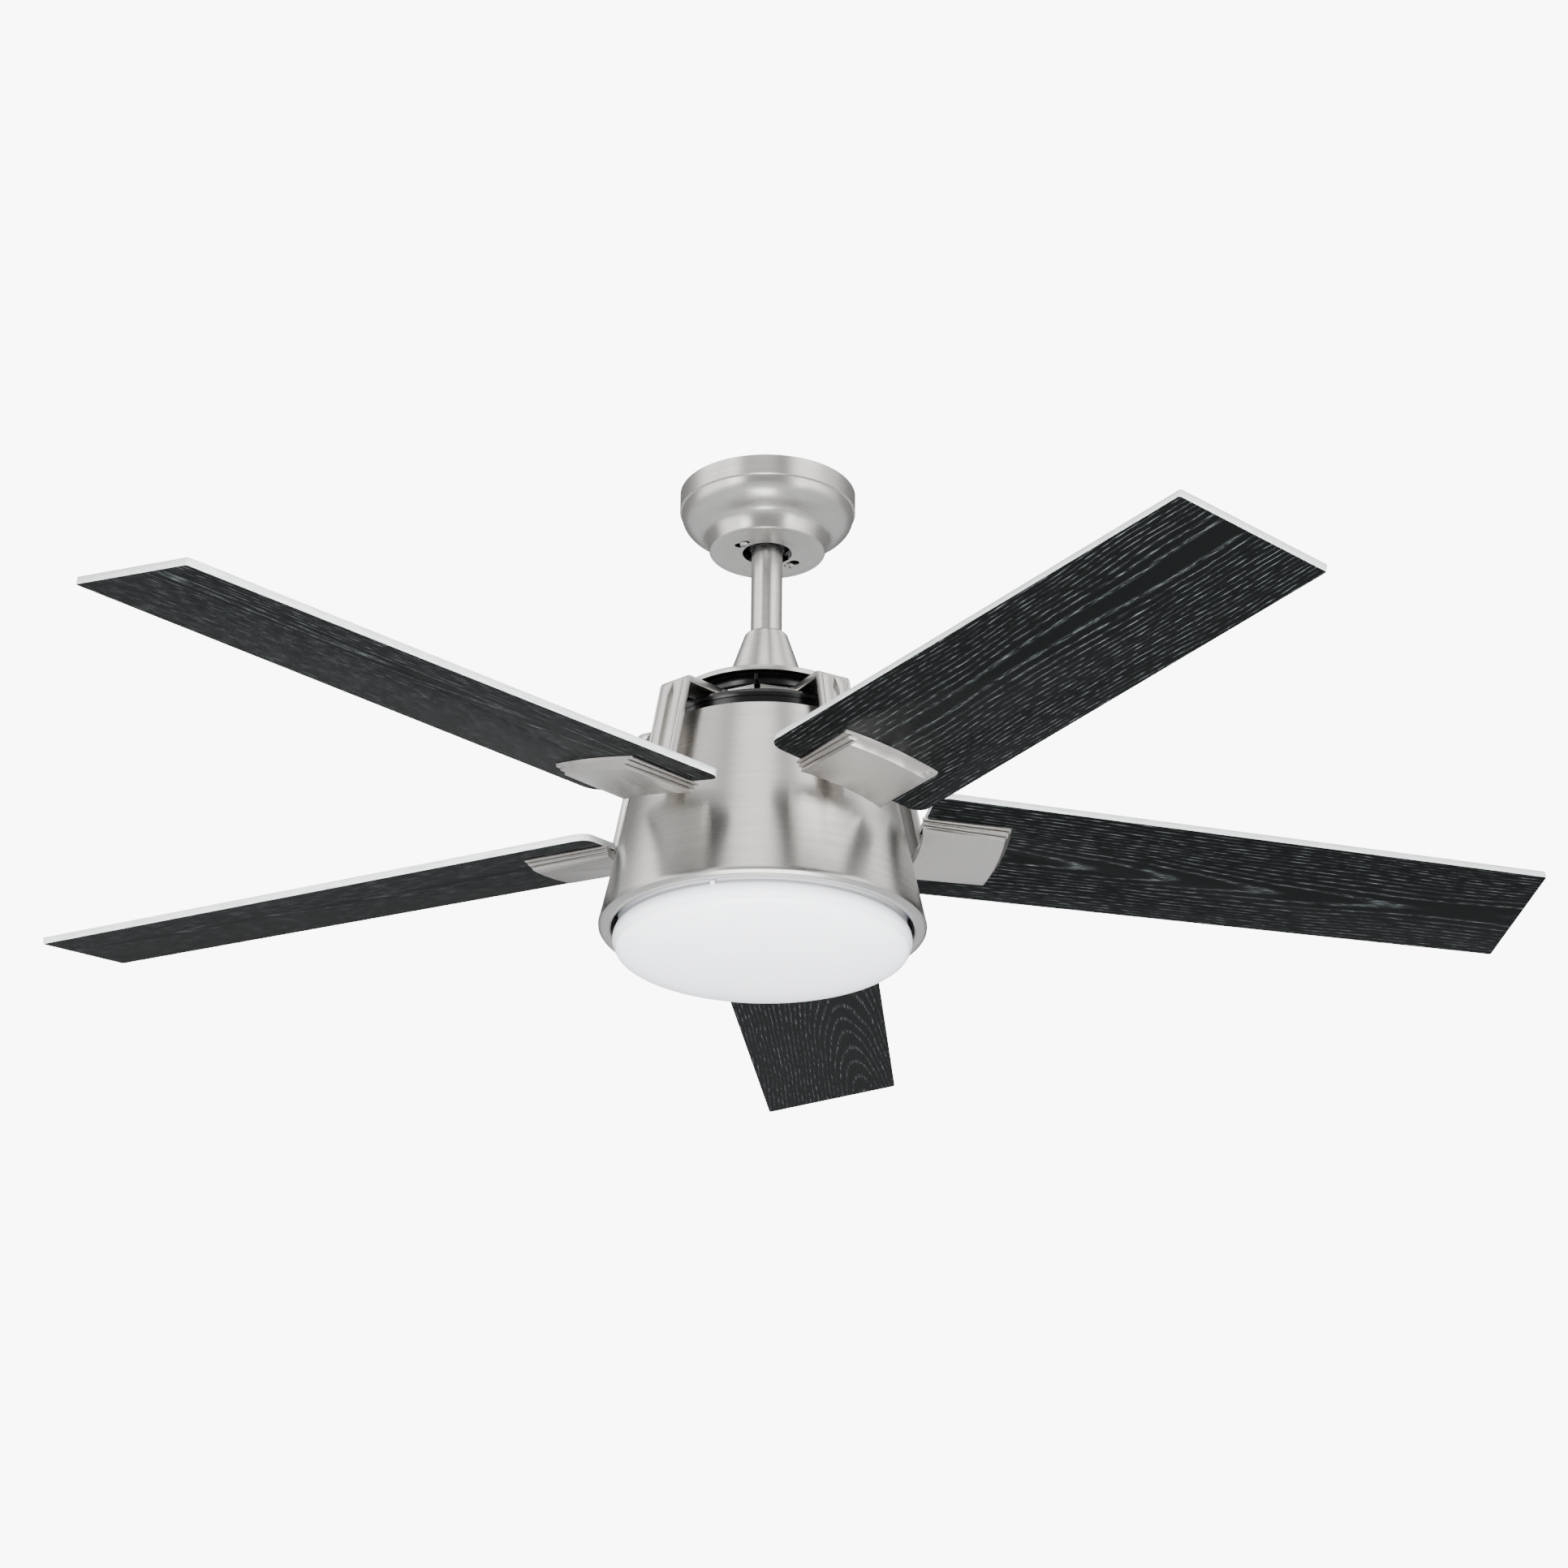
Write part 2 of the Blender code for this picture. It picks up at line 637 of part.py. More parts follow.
def blade_arms(parent):
    arm = cut(arm_strap(), leg_groove())
    fuse(arm, blade_plate())
    cut(arm, *screw_holes(BLADE_SCREW_R + GAP, -0.0065, 0.01))
    mesh = bake(arm)
    for k in range(ARMS):
        obj = place(f"blade_arm_{k + 1}", mesh, nickel())
        obj.rotation_euler.z = arm_turn(k)
        hang(obj, parent)


def blade_outline():
    """A tapered board with rounded root corners and a notch that clears the leg."""
    root_corner, tip_corner = 0.013, 0.002
    notch_half, notch_end = 0.0165, 0.1345
    taper = (BLADE_HALF_ROOT - BLADE_HALF_TIP) / (BLADE_TIP_R - BLADE_ROOT_R)

    def half(x):
        return BLADE_HALF_ROOT - (x - BLADE_ROOT_R) * taper

    root_x, tip_x = BLADE_ROOT_R + root_corner, BLADE_TIP_R - tip_corner
    tip = arc(tip_x, half(tip_x) - tip_corner, tip_corner, 90, 0, 3)
    root = arc(root_x, -half(root_x) + root_corner, root_corner, 270, 180, 5)
    upper = [(root_x, half(root_x)), *tip]
    lower = [(x, -y) for x, y in reversed(tip)]
    notch = [(BLADE_ROOT_R, -notch_half), (notch_end, -notch_half), (notch_end, notch_half),
             (BLADE_ROOT_R, notch_half)]
    return [*upper, *lower, *root, *notch, *[(x, -y) for x, y in reversed(root)][:-1]]


def blades(parent):
    blade = sheet("blade", blade_outline(), 0, BLADE_THICK, material("black oak laminate", (0.02, 0.021, 0.022),
                                                                     0.5, 0.0))
    blade.data.transform(blade_tilt())
    cut(blade, *screw_holes(BLADE_SCREW_R + GAP, -0.001, 0.01))
    mesh = bake(blade)
    for k in range(ARMS):
        obj = place(f"blade_{k + 1}", mesh, None)
        obj.rotation_euler.z = arm_turn(k)
        hang(obj, parent)


def blade_screws(parent):
    """Three pan-head screws a blade, from above into the arm's plate."""
    head = 0.0022
    top = BLADE_THICK + GAP + head
    pattern = screw_piece("blade_screw", top, 0.0042, head, BLADE_SCREW_R, -0.0058, zinc_steel(), socket=False)
    base = bake(pattern)
    for k in range(ARMS):
        for number, (x, y) in enumerate(BLADE_SCREWS, start=1):
            mesh = base.copy()
            mesh.transform(blade_tilt() @ Matrix.Translation((x, y, 0)))
            obj = place(f"blade_{k + 1}_screw_{number}", mesh, None)
            obj.rotation_euler.z = arm_turn(k)
            hang(obj, parent)


# ---------------------------------------------------------------- housing and light

def wall_r(z):
    """The housing's outer radius at height z."""
    return HOUSING_TOP_R + (HOUSING_TOP - z) * HOUSING_SLOPE


def motor_housing(parent):
    """The brushed drum: a cone with a rolled lip and a welded ring inside."""
    lip = [(0.1336, -0.3945), (0.1324, -0.3978), (0.1290, -0.3998), (0.1256, -0.3996)]
    profile = [(HOUSING_TOP_R, HOUSING_TOP), (HOUSING_LIP_R, HOUSING_LIP), *lip]
    obj = turned("motor_housing", profile, nickel(), wall=HOUSING_METAL)
    ring_low, ring_high = SUPPORT_TOP + GAP, SUPPORT_TOP + 0.0018
    outer = wall_r(ring_high) - 0.0008
    ring = [(outer, ring_high), (outer, ring_low), (0.1170, ring_low), (0.1170, ring_high)]
    fuse(obj, turned("ring", ring, None, collection=CUTTERS))
    cut(obj, *[cut_bar(0.0021, (*p, -0.38), (*p, -0.36)) for p in housing_screw_places()])
    hang(obj, parent)


def housing_screw_places():
    return [(HOUSING_SCREW_R * cos(radians(a)), HOUSING_SCREW_R * sin(radians(a))) for a in (30, 150, 270)]


def housing_support(parent):
    """The steel plate on the shaft that carries the housing and the light."""
    low = SUPPORT_TOP - 0.002
    profile = [(0.1255, SUPPORT_TOP), (0.1255, low), (SHAFT_HOLE_R, low), (SHAFT_HOLE_R, SUPPORT_TOP)]
    obj = turned("housing_support", profile, zinc_steel())
    cut(obj, *[cut_bar(0.0021, (*p, -0.38), (*p, -0.36)) for p in housing_screw_places()])
    hang(obj, parent)
    nut = sheet("shaft_nut", circle(0.0127, 6), low - GAP - 0.007, low - GAP, zinc_steel(),
                holes=[circle(SHAFT_HOLE_R, SMALL_ROUND)])
    hang(nut, parent)
    for number, (x, y) in enumerate(housing_screw_places(), start=1):
        screw = screw_piece(f"housing_screw_{number}", low - GAP - 0.0024, 0.0035, 0.0024, 0.0018,
                            SUPPORT_TOP + 0.0045, zinc_steel(), socket=False)
        screw.location = (x, y, 0)
        hang(screw, parent)


def light_pan(parent):
    """The pan under the support plate: its wall has three tabs that the shade locks on."""
    profile = [(PAN_R + 0.0042, PAN_TOP), (PAN_R, PAN_TOP), (PAN_R, PAN_BOTTOM + 0.001),
               (PAN_R - 0.001, PAN_BOTTOM), (0.012, PAN_BOTTOM)]
    obj = turned("light_pan", profile, material("white paint", (0.85, 0.85, 0.85), 0.5, 0.0), wall=0.0012)
    for turn in LUG_TURNS:
        tab = block("tab", (PAN_R - 0.0006, -0.008, -0.3842), (PAN_R + 0.0034, 0.008, -0.3828))
        fuse(obj, turn_z(tab, turn))
    hang(obj, parent)


def led_parts(parent):
    low, high = PAN_BOTTOM - 0.0030, PAN_BOTTOM - 0.0015
    board = [(0.098, high), (0.098, low), (0.014, low), (0.014, high)]
    hang(turned("led_board", board, material("white solder mask", (0.9, 0.9, 0.88), 0.4, 0.0)), parent)
    driver = block("led_driver", (-0.098, -0.020, SUPPORT_TOP + GAP), (-0.030, 0.020, SUPPORT_TOP + 0.022),
                   material("white ABS", (0.8, 0.8, 0.8), 0.45, 0.0))
    edge = driver.modifiers.new("edge", "BEVEL")
    edge.width = 0.002
    edge.segments = 1
    hang(driver, parent)


def light_shade(parent):
    """The opal shade: a short neck, a rounded side and a shallow dome, with three inner lugs."""
    rim_r, rim_z = 0.1190, -0.4140
    drop = rim_z - SHADE_BOTTOM
    dome = []
    for i in range(1, 7):
        t = radians(90 * i / 6)
        dome.append((rim_r * cos(t) ** 0.9 if i < 6 else 0, rim_z - drop * sin(t) ** 1.15))
    profile = [(0.1176, -0.3805), (0.1176, -0.3985), (0.1206, -0.4015), (SHADE_R, -0.4075), (rim_r, rim_z), *dome]
    obj = turned("light_shade", profile, material("opal acrylic", (0.90, 0.91, 0.93), 0.25, 0.0),
                 wall=SHADE_WALL)
    for turn in LUG_TURNS:
        lug = block("lug", (PAN_R + 0.0008, -0.007, -0.3822), (PAN_R + 0.0052, 0.007, -0.3806))
        fuse(obj, turn_z(lug, turn))
    hang(obj, parent)


def build():
    clear_scene()
    drop = axis_empty("swing_centre", BALL_Z)
    rotor = axis_empty("spin_centre", FOOT_TOP)
    shade = axis_empty("shade_centre", SHADE_BOTTOM)
    hanger_bracket()
    canopy()
    canopy_screws()
    receiver()
    hanger_ball(drop)
    cross_pin("ball_pin", BALL_PIN_Z, 0.019, drop)
    downrod(drop)
    lead_bundle(drop)
    coupling_cover(drop)
    motor_yoke(drop)
    yoke_fixings(drop)
    motor_shaft(drop)
    stator(drop)
    bearings(rotor)
    rotor_top(rotor)
    rotor_can(rotor)
    top_cap(rotor)
    blade_arms(rotor)
    blades(rotor)
    blade_screws(rotor)
    motor_housing(drop)
    housing_support(drop)
    light_pan(drop)
    led_parts(drop)
    light_shade(shade)


build()
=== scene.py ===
"""Ceiling fan with light: the finished surfaces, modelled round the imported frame.

Metres, +Z up, origin on the ceiling at the motor's axis.  Turned pieces are pulled up ring by
ring from a circle; castings and boards are cut from blocks; screws are turned and slotted.
"""

from math import atan, cos, pi, radians, sin, tan

import bmesh
import bpy
from mathutils import Matrix, Vector


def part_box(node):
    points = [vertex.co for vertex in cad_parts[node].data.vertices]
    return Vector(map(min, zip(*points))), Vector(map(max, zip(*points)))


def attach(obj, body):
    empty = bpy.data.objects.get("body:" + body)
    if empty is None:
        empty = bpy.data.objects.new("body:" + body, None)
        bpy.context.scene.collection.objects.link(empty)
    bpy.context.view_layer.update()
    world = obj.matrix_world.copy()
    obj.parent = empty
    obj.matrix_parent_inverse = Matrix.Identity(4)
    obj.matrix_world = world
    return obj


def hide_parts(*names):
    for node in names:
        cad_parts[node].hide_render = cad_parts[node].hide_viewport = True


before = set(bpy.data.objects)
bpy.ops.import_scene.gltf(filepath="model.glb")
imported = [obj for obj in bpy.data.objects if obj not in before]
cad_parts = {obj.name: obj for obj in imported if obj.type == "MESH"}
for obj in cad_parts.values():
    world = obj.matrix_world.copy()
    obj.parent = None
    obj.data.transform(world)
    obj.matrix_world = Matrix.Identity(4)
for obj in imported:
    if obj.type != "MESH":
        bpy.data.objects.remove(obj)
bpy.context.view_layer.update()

MM = 0.001
ARMS = 5
FINE = 128                          # sides of a large turned piece
FINEST = 160                        # sides of the housing and the shade
ROUND = 96                          # sides of a small turned piece


def span(node):
    """(low corner, high corner) of a CAD node."""
    low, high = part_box(node)
    return Vector(low), Vector(high)


# Heights and radii are read from the frame.
CANOPY_LOW, CANOPY_HIGH = span("canopy")
CANOPY_R = CANOPY_HIGH.x
ROD_LOW, ROD_HIGH = span("downrod")
ROD_R = ROD_HIGH.x
COVER_LOW, COVER_HIGH = span("coupling_cover")
CAP_LOW, CAP_HIGH = span("top_cap")
HOUSE_LOW, HOUSE_HIGH = span("motor_housing")
SHADE_LOW, SHADE_HIGH = span("light_shade")
ROTOR_HIGH = span("rotor_can")[1]
BALL_LOW, BALL_HIGH = span("hanger_ball")

BRACKET_TURN = radians(51)          # direction of the bracket's long axis
CANOPY_SCREW_R = 27.5 * MM          # from the axis to each canopy screw

# The blade board and the arm that carries it, as on the frame.
BLADE_PITCH = radians(11.2)
BLADE_DROOP = radians(1.57)
BLADE_AXIS_Z = -306.6 * MM
BLADE_THICK = 6 * MM
BLADE_ROOT, BLADE_TIP = 127.5 * MM, 660 * MM
BLADE_HALF_ROOT, BLADE_HALF_TIP = 72.4 * MM, 63.1 * MM
BLADE_SCREWS = ((150 * MM, 0), (185 * MM, 24 * MM), (185 * MM, -24 * MM))
PLATE_IN, PLATE_OUT = 130.5 * MM, 204 * MM
PLATE_LAYER = 2.8 * MM
FOOT_TOP = -206 * MM
ARM_METAL = 6 * MM
LEG_TOP_R, LEG_TOP_Z, LEG_END_Z = 111 * MM, -210.5 * MM, -314.5 * MM
LEG_HALF = 14.2 * MM
LEG_LEAN = atan(33 / 154.5)         # the leg is parallel to the housing's side

TILT = (Matrix.Translation((0, 0, BLADE_AXIS_Z)) @ Matrix.Rotation(BLADE_DROOP, 4, "Y")
        @ Matrix.Rotation(-BLADE_PITCH, 4, "X"))


# ---------------------------------------------------------------- modelling helpers

def start(add, name, **sizes):
    """Adds a primitive with nothing else selected, and names it."""
    bpy.ops.object.select_all(action="DESELECT")
    add(**sizes)
    piece = bpy.context.object
    piece.name = name
    return piece


def pick(piece, wanted, kind="VERT"):
    """In edit mode, selects the vertices, edges or faces for which wanted(element) is true."""
    bpy.ops.mesh.select_mode(type=kind)
    bpy.ops.mesh.select_all(action="DESELECT")
    work = bmesh.from_edit_mesh(piece.data)
    parts = {"VERT": work.verts, "EDGE": work.edges, "FACE": work.faces}[kind]
    for part in parts:
        part.select_set(wanted(part))
    work.select_flush_mode()
    bmesh.update_edit_mesh(piece.data)


def edit(on):
    """Goes into edit mode, or back out of it."""
    bpy.ops.object.mode_set(mode="EDIT" if on else "OBJECT")


def only(piece):
    """Selects one piece and nothing else."""
    bpy.ops.object.select_all(action="DESELECT")
    piece.select_set(True)
    bpy.context.view_layer.objects.active = piece


def finish_with(piece, kind, **settings):
    """Adds a modifier with its settings, and applies it."""
    only(piece)
    step = piece.modifiers.new(kind.lower(), kind)
    for key, value in settings.items():
        setattr(step, key, value)
    bpy.ops.object.modifier_apply(modifier=step.name)


def soften(piece, width, segments=2, angle=30):
    """Rounds a piece's sharp edges, as a tumbled or cast edge is."""
    finish_with(piece, "BEVEL", width=width, segments=segments, limit_method="ANGLE",
                angle_limit=radians(angle), harden_normals=False)


def smooth(piece, angle=32):
    """Shades a piece smooth, apart from edges sharper than the angle."""
    only(piece)
    bpy.ops.object.shade_smooth_by_angle(angle=radians(angle))


def settle(piece, matrix=None):
    """Puts a piece's place into its mesh."""
    if matrix is not None:
        piece.matrix_world = matrix @ piece.matrix_world
    only(piece)
    bpy.ops.object.transform_apply(location=True, rotation=True, scale=True)


def join_solid(piece, others, operation):
    """Unites piece with the others, or cuts it by them."""
    for other in others:
        finish_with(piece, "BOOLEAN", operation=operation, object=other, solver="EXACT")
        bpy.data.objects.remove(other, do_unlink=True)
    return piece


def turned(name, profile, sides=FINE, wall=0.0, closed=False):
    """A turned piece.  The profile is (radius, height) from its outer start; radius 0 ends it in
    a point, closed joins its end to its start, and a wall gives an open one its thickness."""
    (first_r, first_z), *rest = profile
    piece = start(bpy.ops.mesh.primitive_circle_add, name, vertices=sides, radius=first_r,
                  location=(0, 0, first_z))
    settle(piece)
    edit(True)
    bpy.ops.mesh.select_all(action="SELECT")
    radius, height = first_r, first_z
    for r, z in rest + ([profile[0]] if closed else []):
        if r == 0:
            bpy.ops.mesh.extrude_region_move(TRANSFORM_OT_translate={"value": (0, 0, z - height)})
            bpy.ops.mesh.merge(type="CENTER")
            break
        bpy.ops.mesh.extrude_region_move(TRANSFORM_OT_translate={"value": (0, 0, z - height)})
        bpy.ops.transform.resize(value=(r / radius, r / radius, 1), center_override=(0, 0, z))
        radius, height = r, z
    bpy.ops.mesh.select_all(action="SELECT")
    bpy.ops.mesh.remove_doubles(threshold=1e-6)
    bpy.ops.mesh.normals_make_consistent(inside=False)
    edit(False)
    if wall:
        finish_with(piece, "SOLIDIFY", thickness=wall, offset=-1, use_even_offset=True)
    return piece


def arc(centre_r, centre_z, radius, begin, end, count):
    """Points of a profile's arc; 0 degrees points outwards and 90 up."""
    angles = [radians(begin + (end - begin) * i / count) for i in range(count + 1)]
    return [(centre_r + radius * cos(a), centre_z + radius * sin(a)) for a in angles]


def slab(name, low, high):
    """A block between two corners."""
    low, high = Vector(low), Vector(high)
    piece = start(bpy.ops.mesh.primitive_cube_add, name, size=1, location=(low + high) / 2)
    piece.scale = high - low
    settle(piece)
    return piece


def copies(piece, names, turns):
    """Copies of a piece, each with its own mesh, turned about the axis; the piece itself goes."""
    made = []
    for name, turn in zip(names, turns):
        twin = piece.copy()
        twin.data = piece.data.copy()
        twin.name = twin.data.name = name
        bpy.context.collection.objects.link(twin)
        settle(twin, Matrix.Rotation(turn, 4, "Z"))
        made.append(twin)
    bpy.data.objects.remove(piece, do_unlink=True)
    return made


def fit(piece, body, nodes, *finishes, slot=None):
    """Gives a piece its materials, its body and the CAD nodes that it stands for."""
    if len(finishes) == 1:
        piece.data.materials.clear()
    for finish in finishes:
        if finish.name not in piece.data.materials:
            piece.data.materials.append(finish)
    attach(piece, body)
    if nodes:
        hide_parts(*nodes)
    return piece


def arm_turn(k):
    """Direction of arm k from the axis."""
    return pi / 2 + 2 * pi * k / ARMS


# ---------------------------------------------------------------- material helpers

def linear(code):
    """An sRGB hex colour as linear red, green, blue and alpha."""
    parts = [int(code[i:i + 2], 16) / 255 for i in (1, 3, 5)]
    return tuple(c / 12.92 if c <= 0.04045 else ((c + 0.055) / 1.055) ** 2.4 for c in parts) + (1.0,)


def add(tree, kind, inputs=None, **settings):
    """Adds a node; an input's value is a constant, or another node's output to link from."""
    node = tree.nodes.new(kind)
    for key, value in settings.items():
        setattr(node, key, value)
    for key, value in (inputs or {}).items():
        if isinstance(value, bpy.types.NodeSocket):
            tree.links.new(value, node.inputs[key])
        else:
            node.inputs[key].default_value = value
    return node


def new_finish(name, colour, roughness, metallic=0.0, **constants):
    """A material with its shader's constants set; returns it with its tree and shader."""
    made = bpy.data.materials.new(name)
    made.use_nodes = True
    shader = made.node_tree.nodes["Principled BSDF"]
    shader.inputs["Base Color"].default_value = linear(colour)
    shader.inputs["Roughness"].default_value = roughness
    shader.inputs["Metallic"].default_value = metallic
    for key, value in constants.items():
        shader.inputs[key.replace("_", " ").title()].default_value = value
    return made, made.node_tree, shader


def stops(ramp, *pairs):
    """Sets a colour ramp's stops from (position, hex colour) pairs."""
    ramp = ramp.color_ramp
    while len(ramp.elements) > 1:
        ramp.elements.remove(ramp.elements[-1])
    for i, (place, code) in enumerate(pairs):
        stop = ramp.elements[0] if i == 0 else ramp.elements.new(place)
        stop.position = place
        stop.color = linear(code)


def grey(level):
    """The hex code of a grey from 0 to 255."""
    return "#" + format(level, "02x") * 3


def mottled(name, colour, roughness, metallic=0.0, grain=2.0, spread=0.05, depth=0.03, **constants):
    """A plain finish with a fine grain of so many millimetres in its colour, gloss and height."""
    made, tree, shader = new_finish(name, colour, roughness, metallic, **constants)
    place = add(tree, "ShaderNodeTexCoord").outputs["Object"]
    noise = add(tree, "ShaderNodeTexNoise",
                {"Vector": place, "Scale": 1000 / grain, "Detail": 4.0}).outputs["Fac"]
    base = linear(colour)
    ramp = add(tree, "ShaderNodeValToRGB", {"Fac": noise})
    ramp.color_ramp.elements[0].position, ramp.color_ramp.elements[1].position = 0.3, 0.7
    ramp.color_ramp.elements[0].color = tuple(c * (1 - spread) for c in base[:3]) + (1,)
    ramp.color_ramp.elements[1].color = tuple(min(1, c * (1 + spread)) for c in base[:3]) + (1,)
    tree.links.new(ramp.outputs["Color"], shader.inputs["Base Color"])
    gloss = add(tree, "ShaderNodeMapRange", {"Value": noise, "To Min": roughness * (1 - spread),
                                             "To Max": min(1, roughness * (1 + spread))})
    tree.links.new(gloss.outputs["Result"], shader.inputs["Roughness"])
    bump = add(tree, "ShaderNodeBump", {"Height": noise, "Strength": depth, "Distance": 0.2 * MM})
    tree.links.new(bump.outputs["Normal"], shader.inputs["Normal"])
    return made


def brushed(name, coords, colours, roughness, fine, long, depth, anisotropic=0.0):
    """Nickel plate brushed in long fine scratches.  coords(tree) gives the two directions of the
    brushing in metres: x across the scratches and y along them."""
    made, tree, shader = new_finish(name, colours[1], roughness, 1.0, anisotropic=anisotropic)
    place = coords(tree, shader)
    stretched = add(tree, "ShaderNodeVectorMath",
                    {0: place, 1: (1000 / fine, 1000 / long, 0)}, operation="MULTIPLY").outputs["Vector"]
    scratch = add(tree, "ShaderNodeTexNoise", {"Vector": stretched, "Scale": 1.0, "Detail": 5.0,
                                               "Roughness": 0.65}).outputs["Fac"]
    wide = add(tree, "ShaderNodeVectorMath", {0: place, 1: (1000 / (fine * 7), 1000 / (long * 2.5), 0)},
               operation="MULTIPLY").outputs["Vector"]
    drift = add(tree, "ShaderNodeTexNoise", {"Vector": wide, "Scale": 1.0, "Detail": 2.0}).outputs["Fac"]
    both = add(tree, "ShaderNodeMix", {"Factor": 0.2, "A": scratch, "B": drift}, data_type="FLOAT")
    tone = add(tree, "ShaderNodeValToRGB", {"Fac": both.outputs["Result"]})
    stops(tone, (0.30, colours[0]), (0.50, colours[1]), (0.70, colours[2]))
    tree.links.new(tone.outputs["Color"], shader.inputs["Base Color"])
    gloss = add(tree, "ShaderNodeMapRange", {"Value": both.outputs["Result"], "From Min": 0.3, "From Max": 0.7,
                                             "To Min": roughness * 1.15, "To Max": roughness * 0.85})
    tree.links.new(gloss.outputs["Result"], shader.inputs["Roughness"])
    bump = add(tree, "ShaderNodeBump", {"Height": scratch, "Strength": depth, "Distance": 0.05 * MM})
    tree.links.new(bump.outputs["Normal"], shader.inputs["Normal"])
    return made


def round_the_axis(tree, shader):
    """Brushing on a lathe: scratches run round Z, so a highlight spreads up and down."""
    place = add(tree, "ShaderNodeSeparateXYZ",
                {"Vector": add(tree, "ShaderNodeTexCoord").outputs["Object"]}).outputs
    turn = add(tree, "ShaderNodeMath", {0: place["Y"], 1: place["X"]}, operation="ARCTAN2").outputs["Value"]
    along = add(tree, "ShaderNodeMath", {0: turn, 1: 0.1}, operation="MULTIPLY").outputs["Value"]
    flat = add(tree, "ShaderNodeVectorMath",
               {0: add(tree, "ShaderNodeTexCoord").outputs["Object"], 1: (1, 1, 0)}, operation="MULTIPLY")
    out = add(tree, "ShaderNodeVectorMath", {0: flat.outputs["Vector"]}, operation="LENGTH").outputs["Value"]
    rise = add(tree, "ShaderNodeMath", {0: place["Z"], 1: out}, operation="ADD").outputs["Value"]
    tangent = add(tree, "ShaderNodeTangent", direction_type="RADIAL", axis="Z")
    tree.links.new(tangent.outputs["Tangent"], shader.inputs["Tangent"])
    shader.inputs["Anisotropic Rotation"].default_value = 0.25
    return add(tree, "ShaderNodeCombineXYZ", {"X": rise, "Y": along}).outputs["Vector"]


def along_the_arm(tree, shader):
    """Brushing by belt: scratches run across the plate, as the arm's own map of it says."""
    own = add(tree, "ShaderNodeAttribute", attribute_name="arm_place").outputs["Vector"]
    place = add(tree, "ShaderNodeSeparateXYZ", {"Vector": own}).outputs
    return add(tree, "ShaderNodeCombineXYZ", {"X": place["X"], "Y": place["Y"]}).outputs["Vector"]


# ---------------------------------------------------------------- finishes

def spun_nickel():
    """Steel, nickel plated and brushed on a lathe: warm grey with fine level scratches 0.35 mm
    apart, drawn a little coarser than they are so that they show."""
    return brushed("spun_brushed_nickel", round_the_axis, ("#c2bfbb", "#d2d0cc", "#dfddda"),
                   0.32, 0.5, 140, 0.05, anisotropic=0.6)


def cast_nickel():
    """Zinc die casting, nickel plated and satin brushed: the same colour, softer and more even."""
    return brushed("cast_satin_nickel", along_the_arm, ("#cac7c2", "#d0cdc9", "#d6d4d0"),
                   0.32, 0.5, 60, 0.03)


